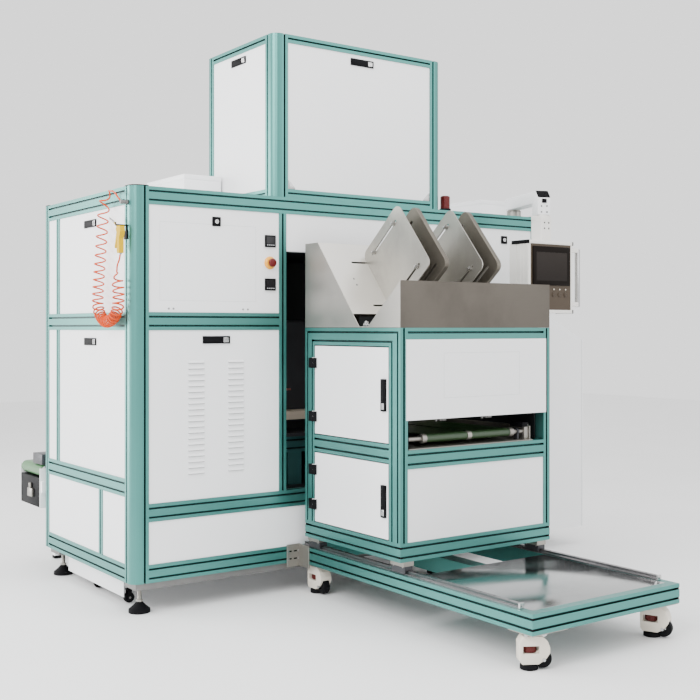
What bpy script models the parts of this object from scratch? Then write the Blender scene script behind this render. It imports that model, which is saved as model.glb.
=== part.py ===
"""Vacuum packing machine for brick-shaped bags, with its bag loader on a rail base.

Metres, +Z up, +Y from the front of the machine to its back. The origin is under the
front left levelling foot. Each assembly is built in the frame of its own empty, whose
corner is the assembly's front left corner.
"""

from math import cos, pi, radians, sin, sqrt, tan

import bmesh
import bpy
from mathutils import Matrix, Vector

# Fits
GAP = 0.0003
BITE = 0.002
DOOR_CLEAR = 0.005

# Slotted aluminium profile
PROFILE = 0.080
RAIL_DEPTH = 0.040
SLOT_WIDTH = 0.009
SLOT_DEPTH = 0.012
SLOT_EDGE = 0.020
POST_RADIUS = 0.045

# Sheet and panels
PANEL_THICK = 0.020
PANEL_RECESS = 0.004
SHEET = 0.003

# Main machine
MACHINE_WIDTH = 2.520
MACHINE_DEPTH = 1.110
MACHINE_TOP = 1.905
UNDERSIDE = 0.145
FRONT_RAIL_LEVEL = 0.415
SIDE_RAIL_LEVEL = 0.525
MIDDLE_RAIL_LEVEL = 1.266
LEFT_BAY = 0.677
RIGHT_BAY = 0.420
MULLION = 0.040
HEADER_HEIGHT = 0.180
SIDE_DOOR = 0.801
LOW_BAY = 0.254
CAVITY_DEPTH = 0.760
OUTFEED_HEIGHT = 0.300
OUTFEED_WIDTH = 0.520
LINING = 0.004
LOUVRES = 20
LOUVRE_PITCH = 0.0265
LOUVRE_LENGTH = 0.080
LOUVRE_RISE = 0.006
LOUVRE_COLUMNS = 0.206
LOUVRE_TOP_DROP = 0.138
ROOF_SHEET = 0.020
ROOF_BOX_HEIGHT = 0.147

# Latches and small controls
LATCH_LENGTH = 0.140
LATCH_HEIGHT = 0.034
LATCH_PROUD = 0.005
LATCH_DROP = 0.038
LOCK_SIZE = 0.042
METER_SIZE = 0.056
METER_PROUD = 0.008
CONTROL_COLUMN = 0.050
STOP_RADIUS = 0.020
STOP_RING_RADIUS = 0.030
STOP_RING = 0.004
STOP_STEM_RADIUS = 0.011
STOP_LENGTH = 0.030
STOP_BORE = 0.008

# Levelling feet and sill
FOOT_INSET_X = 0.075
FOOT_INSET_Y = 0.090
FOOT_RADIUS = 0.048
FOOT_PAD = 0.020
STEM_RADIUS = 0.010
SILL_HEIGHT = 0.034
SILL_DEPTH = 0.120
SKIRT_DROP = 0.060
SKIRT_LENGTH = 0.705
SILL_REACH = 0.045
WHEEL_RADIUS = 0.030

# Upper box
UPPER_LEFT = 0.727
UPPER_WIDTH = 1.046
UPPER_DEPTH = 0.684
UPPER_HEIGHT = 0.785
UPPER_RAIL = 0.040

# Cover at the right end
COVER_LENGTH = 0.347
COVER_UNDERSIDE = 0.107
COVER_HIGH = 1.370
COVER_LOW = 1.204

# Outfeed conveyor behind the machine
OUTFEED_GAP = 0.020
OUTFEED_CONVEYOR_WIDTH = 0.310
OUTFEED_END = 0.010
OUTFEED_LENGTH = 1.750
OUTFEED_BELT_TOP = 0.555
OUTFEED_ROLLER = 0.031
OUTFEED_SIDE_DEPTH = 0.205
OUTFEED_PLATE = 0.006
BELT_THICK = 0.004

# Rail base in front of the machine
BASE_LEFT = 0.870
BASE_WIDTH = 0.845
BASE_LENGTH = 1.5775
BASE_BOTTOM = 0.144
DECK_LENGTH = 0.650
DECK_THICK = 0.004
TRACK_WIDTH = 0.022
TRACK_HEIGHT = 0.020
TRACK_INSET = 0.026
TRACK_END = 0.090
CASTOR_INSET = 0.062
CASTOR_PAD_RADIUS = 0.030
CASTOR_PAD = 0.018
CASTOR_WHEEL_RADIUS = 0.032
CASTOR_WHEEL_WIDTH = 0.022
CASTOR_OFFSET = 0.042
CASTOR_BODY_WIDTH = 0.066

# Bag loader
LOADER_LEFT = 0.8515
LOADER_WIDTH = 0.892
LOADER_DEPTH = 0.7356
LOADER_STANDOFF = 0.082
LOADER_HEIGHT = 0.9953
LOADER_POST = 0.040
LOADER_SIDE_RAIL = 0.4135
LOADER_FRONT_RAIL = 0.3927
LOADER_TRAVEL = 0.600
EXIT_HEIGHT = 0.127
BEARING_LENGTH = 0.090
BEARING_PLATE = 0.0194
BEARING_ROOF = 0.0165
DOOR_THICK = 0.018
HINGE_RADIUS = 0.0065
HINGE_HEIGHT = 0.050
HINGE_WIDTH = 0.018
HINGE_INSET = 0.085
DOOR_SWING = 95
HANDLE_HEIGHT = 0.139
HANDLE_WIDTH = 0.030
HANDLE_PROUD = 0.010

# Trough on the loader
TROUGH_BACK_HEIGHT = 0.400
TROUGH_FRONT_HEIGHT = 0.200
TROUGH_SHELF = 0.1066
TROUGH_SLOPE = 50
THROAT_WIDTH = 0.150
WALL_SLOT = 0.010
WALL_SLOT_REACH = 0.143
PLATE_LENGTH = 0.372
PLATE_DEPTH = 0.350
PLATE_DROP = 0.068
PLATE_RADIUS = 0.034
PLATE_THICK = 0.006
PAD_PLATE_THICK = 0.024
PLATE_SLOT_WIDTH = 0.012
PLATE_SLOT_EDGE = 0.052
PAIR_OFFSET = 0.159
PAIR_SPACE = 0.105
FOOT_TAB = 0.012
FOOT_TAB_EDGE = 0.052

# Delivery belts in the loader
ROLLER_LEFT = 0.049
ROLLER_RIGHT = 0.788
ROLLER_SETBACK = 0.048
ROLLER_LEVEL = 0.5137
RING_RADIUS = 0.0205
RING_WIDTH = 0.024
SHAFT_RADIUS = 0.010
BELT_RADIUS = 0.018
BELT_WIDTH = 0.236
DELIVERY_BELT_THICK = 0.002
BED_PLATE = 0.005

# Operator panel on its arm
ARM_PIVOT_X = 2.362
ARM_PIVOT_Y = 0.060
ARM_LENGTH = 0.355
ARM_ANGLE = 250
ARM_HEIGHT = 0.066
ARM_WIDTH = 0.074
ARM_FOOT_RADIUS = 0.040
ARM_FOOT_HEIGHT = 0.040
HEAD_WIDTH = 0.330
HEAD_DEPTH = 0.141
HEAD_HEIGHT = 0.382
HEAD_TOP = 1.737
COLUMN_SIZE = 0.078
SCREEN_WIDTH = 0.275
SCREEN_HEIGHT = 0.205
SCREEN_PROUD = 0.006
HANDLE_REACH = 0.062
HANDLE_ROD = 0.009

# Air hose on the left side
HOSE_RADIUS = 0.004
COIL_RADIUS = 0.0275
COIL_STANDOFF = 0.040
GUN_LENGTH = 0.120

# Materials: colour, roughness, metallic
TEAL = ("anodised_teal", (0.22, 0.44, 0.42), 0.38, 0.6)
WHITE = ("white_paint", (0.86, 0.87, 0.88), 0.45, 0.0)
STEEL = ("brushed_stainless", (0.55, 0.54, 0.51), 0.32, 1.0)
DARK = ("dark_metal", (0.03, 0.035, 0.04), 0.5, 0.4)
BLACK = ("black_plastic", (0.02, 0.02, 0.022), 0.5, 0.0)
GREEN = ("green_belt", (0.05, 0.22, 0.08), 0.35, 0.0)
IVORY = ("ivory_castor", (0.78, 0.74, 0.66), 0.4, 0.0)
RED = ("red_lamp", (0.45, 0.03, 0.03), 0.3, 0.0)
ORANGE = ("orange_hose", (0.9, 0.25, 0.05), 0.35, 0.0)
YELLOW = ("yellow_gun", (0.9, 0.72, 0.05), 0.4, 0.0)
BRONZE = ("bronze_fascia", (0.23, 0.19, 0.14), 0.4, 0.3)

for leftover in list(bpy.data.objects):
    bpy.data.objects.remove(leftover, do_unlink=True)

PARTS = bpy.data.collections.new("vacuum_packing_machine")
TOOLS = bpy.data.collections.new("construction")
bpy.context.scene.collection.children.link(PARTS)
bpy.context.scene.collection.children.link(TOOLS)


# Shapes

def piece(mesh):
    """Put a mesh in the construction collection as a loose piece."""
    made = bpy.data.objects.new("piece", mesh)
    TOOLS.objects.link(made)
    return made


def snapped(mesh):
    """Round a mesh's places to a thousandth of a millimetre, so equal planes are equal."""
    for vertex in mesh.vertices:
        vertex.co = [round(value, 6) for value in vertex.co]
    return mesh


def evaluated(source):
    """Turn an object with its modifiers into a plain mesh piece and remove the source."""
    bpy.context.view_layer.update()
    graph = bpy.context.evaluated_depsgraph_get()
    mesh = bpy.data.meshes.new_from_object(source.evaluated_get(graph))
    mesh.transform(source.matrix_world)
    bpy.data.objects.remove(source, do_unlink=True)
    welded = bmesh.new()
    welded.from_mesh(mesh)
    bmesh.ops.remove_doubles(welded, verts=welded.verts, dist=1e-6)
    bmesh.ops.recalc_face_normals(welded, faces=welded.faces)
    welded.to_mesh(mesh)
    welded.free()
    return piece(mesh)


def block(low, high, radius=0.0, segments=2):
    """A box between two corners, with its edges rounded where a radius is given."""
    size = Vector(high) - Vector(low)
    centre = (Vector(high) + Vector(low)) / 2
    box = bmesh.new()
    bmesh.ops.create_cube(box, size=1.0)
    bmesh.ops.scale(box, vec=size, verts=box.verts)
    bmesh.ops.translate(box, vec=centre, verts=box.verts)
    if radius:
        bmesh.ops.bevel(box, geom=box.edges, offset=radius, segments=segments,
                        affect="EDGES", profile=0.5)
    mesh = bpy.data.meshes.new("block")
    box.to_mesh(mesh)
    box.free()
    return piece(snapped(mesh))


def turn_to(axis):
    """Matrix that lays an outline drawn in XY across the given axis."""
    if axis == "X":
        return Matrix(((0, 0, 1, 0), (1, 0, 0, 0), (0, 1, 0, 0), (0, 0, 0, 1)))
    if axis == "Y":
        return Matrix(((1, 0, 0, 0), (0, 0, -1, 0), (0, 1, 0, 0), (0, 0, 0, 1)))
    return Matrix.Identity(4)


def outline(loops, axis, low, high):
    """Extrude closed outlines along an axis, from low to high; inner loops are holes."""
    curve = bpy.data.curves.new("outline", "CURVE")
    curve.dimensions = "2D"
    curve.fill_mode = "BOTH"
    curve.extrude = (high - low) / 2
    for points in loops:
        spline = curve.splines.new("POLY")
        spline.points.add(len(points) - 1)
        for point, (u, v) in zip(spline.points, points):
            point.co = (u, v, 0, 1)
        spline.use_cyclic_u = True
    drawn = bpy.data.objects.new("outline", curve)
    TOOLS.objects.link(drawn)
    middle = (high + low) / 2
    shift = {"X": (middle, 0, 0), "Y": (0, middle, 0), "Z": (0, 0, middle)}[axis]
    drawn.matrix_world = Matrix.Translation(shift) @ turn_to(axis)
    solid = evaluated(drawn)
    snapped(solid.data)
    return solid


def tube(points, radius, sides=2):
    """A round bar along a run of points."""
    curve = bpy.data.curves.new("tube", "CURVE")
    curve.dimensions = "3D"
    curve.bevel_depth = radius
    curve.bevel_resolution = sides
    curve.use_fill_caps = True
    spline = curve.splines.new("POLY")
    spline.points.add(len(points) - 1)
    for point, place in zip(spline.points, points):
        point.co = (*place, 1)
    drawn = bpy.data.objects.new("tube", curve)
    TOOLS.objects.link(drawn)
    return evaluated(drawn)


def rod(start, end, radius, sides=20):
    """A straight round bar with flat ends."""
    start, end = Vector(start), Vector(end)
    bar = bmesh.new()
    bmesh.ops.create_cone(bar, cap_ends=True, segments=sides, radius1=radius,
                          radius2=radius, depth=(end - start).length)
    facing = (end - start).to_track_quat("Z", "Y").to_matrix().to_4x4()
    bar.transform(Matrix.Translation((start + end) / 2) @ facing)
    mesh = bpy.data.meshes.new("rod")
    bar.to_mesh(mesh)
    bar.free()
    return piece(mesh)


def turned(profile, centre, steps=20):
    """Revolve a profile of (radius, height) pairs, given top to bottom, about Z."""
    mesh = bpy.data.meshes.new("profile")
    shape = bmesh.new()
    previous = None
    for radius, height in profile:
        vertex = shape.verts.new((radius, 0, height))
        if previous:
            shape.edges.new((previous, vertex))
        previous = vertex
    shape.to_mesh(mesh)
    shape.free()
    lathe = piece(mesh)
    lathe.location = centre
    screw = lathe.modifiers.new("turn", "SCREW")
    screw.steps = steps
    screw.render_steps = steps
    screw.use_merge_vertices = True
    screw.merge_threshold = 0.00001
    return evaluated(lathe)


def folded_sheet(points, low, high, thickness):
    """A folded sheet: an open centre line in YZ with its thickness, drawn out along X."""
    line = [Vector(point) for point in points]
    runs = [(after - before).normalized() for before, after in zip(line, line[1:])]
    normals = [Vector((-run.y, run.x)) for run in runs]
    offsets = [normals[0]]
    for before, after in zip(normals, normals[1:]):
        offsets.append((before + after) / (1 + before.dot(after)))
    offsets.append(normals[-1])
    half = thickness / 2
    above = [tuple(point + offset * half) for point, offset in zip(line, offsets)]
    below = [tuple(point - offset * half) for point, offset in zip(line, offsets)]
    return outline([above + below[::-1]], "X", low, high)


def combine(base, others, operation):
    """Join others to the base, or cut them from it, one after the other."""
    for other in others:
        step = base.modifiers.new(operation, "BOOLEAN")
        step.operation = operation
        step.solver = "EXACT"
        step.object = other
        base = evaluated(base)
        bpy.data.objects.remove(other, do_unlink=True)
    return base


def fuse(pieces):
    """Join loose pieces that run into each other."""
    return combine(pieces[0], pieces[1:], "UNION") if len(pieces) > 1 else pieces[0]


def cut(base, cutters):
    """Cut away pieces from a base."""
    return combine(base, cutters, "DIFFERENCE")


def moved(source, matrix):
    """Move a loose piece."""
    source.data.transform(matrix)
    return source


def arc(centre, radius, start, end, steps):
    """Points along an arc, angles in degrees."""
    return [(centre[0] + radius * cos(radians(start + (end - start) * i / steps)),
             centre[1] + radius * sin(radians(start + (end - start) * i / steps)))
            for i in range(steps + 1)]


def rounded_rectangle(low, high, radius, steps=4):
    """Corner points of a rectangle with round corners."""
    (u0, v0), (u1, v1) = low, high
    return (arc((u1 - radius, v0 + radius), radius, -90, 0, steps)
            + arc((u1 - radius, v1 - radius), radius, 0, 90, steps)
            + arc((u0 + radius, v1 - radius), radius, 90, 180, steps)
            + arc((u0 + radius, v0 + radius), radius, 180, 270, steps))


def capsule(start, end, width, steps=4):
    """A slot outline with round ends."""
    run = Vector(end) - Vector(start)
    heading = Vector((1, 0)).angle_signed(run) if run.length else 0
    angle = -heading * 180 / pi
    return (arc(end, width / 2, angle - 90, angle + 90, steps)
            + arc(start, width / 2, angle + 90, angle + 270, steps))


# Slotted profile

def slot_places(low, high):
    """Slot centres across a face: one 20 mm in from each edge, or one in the middle."""
    if high - low > 2 * SLOT_EDGE + SLOT_WIDTH:
        return [low + SLOT_EDGE, high - SLOT_EDGE]
    return [(low + high) / 2]


def slotted_side(start, end, fixed, inward, slotted):
    """Points along one side of a section as (along, across), slots included."""
    points = [(start, fixed)]
    if not slotted:
        return points
    places = slot_places(min(start, end), max(start, end))
    if end < start:
        places = places[::-1]
    step = SLOT_WIDTH / 2 if end > start else -SLOT_WIDTH / 2
    for place in places:
        points += [(place - step, fixed), (place - step, fixed + inward),
                   (place + step, fixed + inward), (place + step, fixed)]
    return points


def bar(low, high, axis, faces):
    """A slotted bar between two corners, with slots in the faces named, such as -Y."""
    across = {"X": (1, 2), "Y": (0, 2), "Z": (0, 1)}[axis]
    a_low, a_high = low[across[0]], high[across[0]]
    b_low, b_high = low[across[1]], high[across[1]]
    a_name, b_name = "XYZ"[across[0]], "XYZ"[across[1]]
    bottom = slotted_side(a_low, a_high, b_low, SLOT_DEPTH, "-" + b_name in faces)
    right = slotted_side(b_low, b_high, a_high, -SLOT_DEPTH, "+" + a_name in faces)
    top = slotted_side(a_high, a_low, b_high, -SLOT_DEPTH, "+" + b_name in faces)
    left = slotted_side(b_high, b_low, a_low, SLOT_DEPTH, "-" + a_name in faces)
    points = bottom + [(v, u) for u, v in right] + top + [(v, u) for u, v in left]
    along = "XYZ".index(axis)
    return outline([points], axis, low[along], high[along])


def corner_post(x, y, towards_x, towards_y, low, high):
    """A corner post with its outer corner at (x, y), round there and slotted outside."""
    half = SLOT_WIDTH / 2
    slot = PROFILE - SLOT_EDGE
    points = arc((POST_RADIUS, POST_RADIUS), POST_RADIUS, 180, 270, 6)
    points += [(slot - half, 0), (slot - half, SLOT_DEPTH), (slot + half, SLOT_DEPTH),
               (slot + half, 0), (PROFILE, 0), (PROFILE, PROFILE), (0, PROFILE),
               (0, slot + half), (SLOT_DEPTH, slot + half), (SLOT_DEPTH, slot - half),
               (0, slot - half)]
    placed = [(x + towards_x * u, y + towards_y * v) for u, v in points]
    return outline([placed], "Z", low, high)


# Placing finished parts

def paint(finish):
    """The material of a finish, made once."""
    name, colour, roughness, metallic = finish
    if name in bpy.data.materials:
        return bpy.data.materials[name]
    made = bpy.data.materials.new(name)
    made.use_nodes = True
    shader = made.node_tree.nodes["Principled BSDF"]
    shader.inputs["Base Color"].default_value = (*colour, 1)
    shader.inputs["Roughness"].default_value = roughness
    shader.inputs["Metallic"].default_value = metallic
    return made


def empty(name, location, parent=None):
    """An empty that carries an assembly."""
    made = bpy.data.objects.new(name, None)
    PARTS.objects.link(made)
    made.location = location
    made.parent = parent
    return made


def publish(made, name, finish, parent, origin=(0, 0, 0), smooth=0):
    """Name a solid, paint it and hand it to its assembly with its origin in place."""
    TOOLS.objects.unlink(made)
    PARTS.objects.link(made)
    made.name = name
    made.data.name = name
    made.data.materials.clear()
    made.data.materials.append(paint(finish))
    made.data.transform(Matrix.Translation(-Vector(origin)))
    made.location = origin
    made.parent = parent
    if smooth:
        made.data.shade_smooth()
        made.data.set_sharp_from_angle(angle=radians(smooth))
    return made


def lead(made, name, finish, parent, location, smooth=0):
    """Publish a solid drawn from its own corner, which carries the rest of its assembly."""
    publish(made, name, finish, parent, (0, 0, 0), smooth)
    made.location = location
    return made


MACHINE = empty("machine", (-FOOT_INSET_X, -FOOT_INSET_Y, 0))
INNER_LEFT = PROFILE
INNER_RIGHT = MACHINE_WIDTH - PROFILE
LEFT_MULLION = INNER_LEFT + LEFT_BAY
RIGHT_MULLION = INNER_RIGHT - RIGHT_BAY - MULLION
TOP_RAIL = MACHINE_TOP - PROFILE
HEADER_BOTTOM = TOP_RAIL - HEADER_HEIGHT


# Main machine

def long_frame(outside, inward, face):
    """The front or back frame: two corner posts, rails and mullions as one weldment."""
    inside = outside + inward * RAIL_DEPTH
    near, far = min(outside, inside), max(outside, inside)
    pieces = [corner_post(0, outside, 1, inward, UNDERSIDE, MACHINE_TOP),
              corner_post(MACHINE_WIDTH, outside, -1, inward, UNDERSIDE, MACHINE_TOP)]
    full = (INNER_LEFT - BITE, INNER_RIGHT + BITE)
    runs = [(UNDERSIDE, *full), (FRONT_RAIL_LEVEL, *full), (TOP_RAIL, *full),
            (MIDDLE_RAIL_LEVEL, INNER_LEFT - BITE, LEFT_MULLION + BITE),
            (MIDDLE_RAIL_LEVEL, RIGHT_MULLION + MULLION - BITE, INNER_RIGHT + BITE)]
    for level, start, end in runs:
        pieces.append(bar((start, near, level), (end, far, level + PROFILE), "X", [face]))
    for left in (LEFT_MULLION, RIGHT_MULLION):
        pieces.append(bar((left, near, FRONT_RAIL_LEVEL + PROFILE - BITE),
                          (left + MULLION, far, TOP_RAIL + BITE), "Z", [face]))
    return fuse(pieces)


def side_frame(outside, inward, face):
    """The left or right frame: four rails tied by two stiles, between the posts."""
    inside = outside + inward * RAIL_DEPTH
    near, far = min(outside, inside), max(outside, inside)
    start, end = PROFILE + GAP, MACHINE_DEPTH - PROFILE - GAP
    pieces = []
    for level in (UNDERSIDE, SIDE_RAIL_LEVEL, MIDDLE_RAIL_LEVEL, TOP_RAIL):
        pieces.append(bar((near, start, level), (far, end, level + PROFILE), "Y", [face]))
    stiles = [(PROFILE + LOW_BAY, UNDERSIDE + PROFILE, SIDE_RAIL_LEVEL),
              (PROFILE + SIDE_DOOR, SIDE_RAIL_LEVEL + PROFILE, MIDDLE_RAIL_LEVEL),
              (PROFILE + SIDE_DOOR, MIDDLE_RAIL_LEVEL + PROFILE, TOP_RAIL)]
    for place, low, high in stiles:
        pieces.append(bar((near, place, low - BITE), (far, place + MULLION, high + BITE),
                          "Z", [face]))
    return fuse(pieces)


def filler(low, high):
    """A panel shape that fills a bay with the touching gap at its edges."""
    return (low + GAP, high - GAP)


def machine_housing():
    """The closed inner housing, whose raised fields fill the bays without doors."""
    inner = RAIL_DEPTH + GAP
    proud = PANEL_RECESS
    top = MACHINE_TOP - ROOF_SHEET - 2 * GAP
    bottom = UNDERSIDE + PANEL_RECESS
    core = block((inner, inner, bottom),
                 (MACHINE_WIDTH - inner, MACHINE_DEPTH - inner, top))
    fields = []
    low_bay = (UNDERSIDE + PROFILE, SIDE_RAIL_LEVEL)
    mid_bay = (SIDE_RAIL_LEVEL + PROFILE, MIDDLE_RAIL_LEVEL)
    top_bay = (MIDDLE_RAIL_LEVEL + PROFILE, TOP_RAIL)
    strip = (PROFILE + SIDE_DOOR + MULLION, MACHINE_DEPTH - PROFILE)
    side_door = (PROFILE, PROFILE + SIDE_DOOR)
    lows = [(PROFILE, PROFILE + LOW_BAY),
            (PROFILE + LOW_BAY + MULLION, MACHINE_DEPTH - PROFILE)]
    left_bays = [(lows[0], low_bay), (lows[1], low_bay), (strip, mid_bay), (strip, top_bay)]
    right_bays = left_bays + [(side_door, mid_bay), (side_door, top_bay)]
    for (y0, y1), (z0, z1) in left_bays:
        (y0, y1), (z0, z1) = filler(y0, y1), filler(z0, z1)
        fields.append(block((proud, y0, z0), (inner + BITE, y1, z1)))
    for (y0, y1), (z0, z1) in right_bays:
        (y0, y1), (z0, z1) = filler(y0, y1), filler(z0, z1)
        fields.append(block((MACHINE_WIDTH - inner - BITE, y0, z0),
                            (MACHINE_WIDTH - proud, y1, z1)))
    low_band = (UNDERSIDE + PROFILE, FRONT_RAIL_LEVEL)
    band = (FRONT_RAIL_LEVEL + PROFILE, MIDDLE_RAIL_LEVEL)
    wide = (INNER_LEFT, INNER_RIGHT)
    left = (INNER_LEFT, LEFT_MULLION)
    middle = (LEFT_MULLION + MULLION, RIGHT_MULLION)
    right = (RIGHT_MULLION + MULLION, INNER_RIGHT)
    above_outfeed = (FRONT_RAIL_LEVEL + PROFILE + OUTFEED_HEIGHT, TOP_RAIL)
    back_bays = [(wide, low_band), (left, band), (left, top_bay), (right, band),
                 (right, top_bay), (middle, above_outfeed)]
    for (x0, x1), (z0, z1) in back_bays:
        (x0, x1), (z0, z1) = filler(x0, x1), filler(z0, z1)
        fields.append(block((x0, MACHINE_DEPTH - inner - BITE, z0),
                            (x1, MACHINE_DEPTH - proud, z1)))
    header = (HEADER_BOTTOM, TOP_RAIL)
    for (x0, x1), (z0, z1) in ((wide, low_band), (right, band), (middle, header)):
        (x0, x1), (z0, z1) = filler(x0, x1), filler(z0, z1)
        fields.append(block((x0, proud, z0), (x1, inner + BITE, z1)))
    cutters = []
    notch = PROFILE + GAP
    for x0, x1 in ((-1, notch), (MACHINE_WIDTH - notch, MACHINE_WIDTH + 1)):
        for y0, y1 in ((-1, notch), (MACHINE_DEPTH - notch, MACHINE_DEPTH + 1)):
            cutters.append(block((x0, y0, 0), (x1, y1, MACHINE_TOP)))
    cutters.append(block((LEFT_MULLION + MULLION, -1, FRONT_RAIL_LEVEL + PROFILE),
                         (RIGHT_MULLION, CAVITY_DEPTH, HEADER_BOTTOM)))
    middle_x = (LEFT_MULLION + MULLION + RIGHT_MULLION) / 2
    cutters.append(block((middle_x - OUTFEED_WIDTH / 2, CAVITY_DEPTH + 0.060,
                          FRONT_RAIL_LEVEL + PROFILE),
                         (middle_x + OUTFEED_WIDTH / 2, MACHINE_DEPTH + 1,
                          FRONT_RAIL_LEVEL + PROFILE + OUTFEED_HEIGHT - BITE)))
    return cut(core, cutters[:4]), fields, cutters[4:]


def build_housing():
    """Fuse the raised fields to the notched core, then cut the two mouths."""
    core, fields, mouths = machine_housing()
    publish(cut(fuse([core] + fields), mouths), "machine_housing", WHITE, MACHINE)


def front_panel(left, right, bottom, top):
    """A lift-out panel in the front frame."""
    (x0, x1), (z0, z1) = filler(left, right), filler(bottom, top)
    return block((x0, PANEL_RECESS, z0), (x1, PANEL_RECESS + PANEL_THICK, z1))


def front_latch(centre, top):
    """A flush latch on a front panel, fused to it."""
    half = LATCH_LENGTH / 2
    face = PANEL_RECESS
    return block((centre - half, face - LATCH_PROUD, top - LATCH_HEIGHT),
                 (centre + half, face + BITE, top), 0.001, 1)


def side_panel(front, back, bottom, top):
    """A lift-out panel in the left frame, with its flush latch."""
    (y0, y1), (z0, z1) = filler(front, back), filler(bottom, top)
    plate = block((PANEL_RECESS, y0, z0), (PANEL_RECESS + PANEL_THICK, y1, z1))
    centre = (front + back) / 2
    half = LATCH_LENGTH / 2
    latch = block((PANEL_RECESS - LATCH_PROUD, centre - half, top - LATCH_DROP - LATCH_HEIGHT),
                  (PANEL_RECESS + BITE, centre + half, top - LATCH_DROP), 0.001, 1)
    return fuse([plate, latch])


def louvres(centre, top):
    """Two columns of raised louvres, each blade a wedge that sheds downwards."""
    blades = []
    drop = LOUVRE_PITCH * 0.42
    face = PANEL_RECESS
    for side in (-1, 1):
        middle = centre + side * LOUVRE_COLUMNS / 2
        for count in range(LOUVRES):
            z = top - LOUVRE_TOP_DROP - count * LOUVRE_PITCH
            wedge = [(face + BITE, z), (face, z), (face - LOUVRE_RISE, z - drop),
                     (face + BITE, z - drop)]
            blades.append(outline([wedge], "X", middle - LOUVRE_LENGTH / 2,
                                  middle + LOUVRE_LENGTH / 2))
    return blades


def front_doors():
    """The panels in the front frame."""
    centre = (INNER_LEFT + LEFT_MULLION) / 2
    plate = front_panel(INNER_LEFT, LEFT_MULLION, MIDDLE_RAIL_LEVEL + PROFILE, TOP_RAIL)
    controls = LEFT_MULLION - CONTROL_COLUMN
    middle = (MIDDLE_RAIL_LEVEL + PROFILE + TOP_RAIL) / 2
    face = PANEL_RECESS
    fittings = []
    for rise in (1, -1):
        z = middle + rise * 0.103
        fittings.append(block((controls - METER_SIZE / 2, face - METER_PROUD, z - METER_SIZE / 2),
                              (controls + METER_SIZE / 2, face + BITE, z + METER_SIZE / 2)))
    fittings.append(rod((controls, face - STOP_RING, middle), (controls, face + BITE, middle),
                        STOP_RING_RADIUS))
    lock_top = TOP_RAIL - LATCH_DROP
    fittings.append(block((centre - LOCK_SIZE / 2, face - LATCH_PROUD, lock_top - LOCK_SIZE),
                          (centre + LOCK_SIZE / 2, face + BITE, lock_top)))
    bore = rod((controls, -1, middle), (controls, face - STOP_RING + STOP_BORE, middle),
               STOP_STEM_RADIUS + GAP)
    publish(cut(fuse([plate] + fittings), [bore]), "control_door", WHITE, MACHINE)
    head = turned([(0, STOP_LENGTH), (STOP_RADIUS * 0.8, STOP_LENGTH),
                   (STOP_RADIUS, STOP_LENGTH * 0.8), (STOP_RADIUS, STOP_LENGTH * 0.55),
                   (STOP_STEM_RADIUS, STOP_LENGTH * 0.4), (STOP_STEM_RADIUS, 0), (0, 0)],
                  (0, 0, 0))
    seat = face - STOP_RING
    moved(head, Matrix.Translation((controls, seat, middle)) @ Matrix.Rotation(pi / 2, 4, "X"))
    publish(head, "stop_button", RED, MACHINE, (controls, seat, middle), 40)
    plate = front_panel(INNER_LEFT, LEFT_MULLION, FRONT_RAIL_LEVEL + PROFILE,
                        MIDDLE_RAIL_LEVEL)
    latch = front_latch(centre, MIDDLE_RAIL_LEVEL - LATCH_DROP + 0.010)
    publish(fuse([plate, latch] + louvres(centre, MIDDLE_RAIL_LEVEL)), "louvred_door",
            WHITE, MACHINE)
    plate = front_panel(RIGHT_MULLION + MULLION, INNER_RIGHT, MIDDLE_RAIL_LEVEL + PROFILE,
                        TOP_RAIL)
    latch = front_latch((RIGHT_MULLION + MULLION + INNER_RIGHT) / 2, TOP_RAIL - LATCH_DROP)
    publish(fuse([plate, latch]), "right_door", WHITE, MACHINE)


def side_doors():
    """The two lift-out doors in the left side."""
    publish(side_panel(PROFILE, PROFILE + SIDE_DOOR, MIDDLE_RAIL_LEVEL + PROFILE, TOP_RAIL),
            "left_upper_door", WHITE, MACHINE)
    publish(side_panel(PROFILE, PROFILE + SIDE_DOOR, SIDE_RAIL_LEVEL + PROFILE,
                       MIDDLE_RAIL_LEVEL), "left_lower_door", WHITE, MACHINE)


def roof():
    """The roof sheet between the top rails, with its two raised covers."""
    edge = RAIL_DEPTH + GAP
    level = MACHINE_TOP - GAP
    sheet = block((edge, edge, level - ROOF_SHEET),
                  (MACHINE_WIDTH - edge, MACHINE_DEPTH - edge, level))
    left_cover = block((0.508, 0.505, level - BITE), (0.700, 0.935, level + ROOF_BOX_HEIGHT))
    right_cover = block((2.230, 0.200, level - BITE), (2.460, 0.600, level + 0.105))
    notch = PROFILE + GAP
    cutters = []
    for x0, x1 in ((-1, notch), (MACHINE_WIDTH - notch, MACHINE_WIDTH + 1)):
        for y0, y1 in ((-1, notch), (MACHINE_DEPTH - notch, MACHINE_DEPTH + 1)):
            cutters.append(block((x0, y0, 0), (x1, y1, MACHINE_TOP + 1)))
    publish(fuse([cut(sheet, cutters), left_cover, right_cover]), "roof", WHITE, MACHINE)


def infeed_chamber():
    """The dark lining of the infeed mouth: five sheets, open to the front."""
    x0, x1 = filler(LEFT_MULLION + MULLION, RIGHT_MULLION)
    z0, z1 = filler(FRONT_RAIL_LEVEL + PROFILE, HEADER_BOTTOM)
    y0, y1 = RAIL_DEPTH + GAP, CAVITY_DEPTH - GAP
    shell = block((x0, y0, z0), (x1, y1, z1))
    hollow = block((x0 + LINING, -1, z0 + LINING), (x1 - LINING, y1 - LINING, z1 - LINING))
    publish(cut(shell, [hollow]), "infeed_chamber", DARK, MACHINE)


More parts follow.
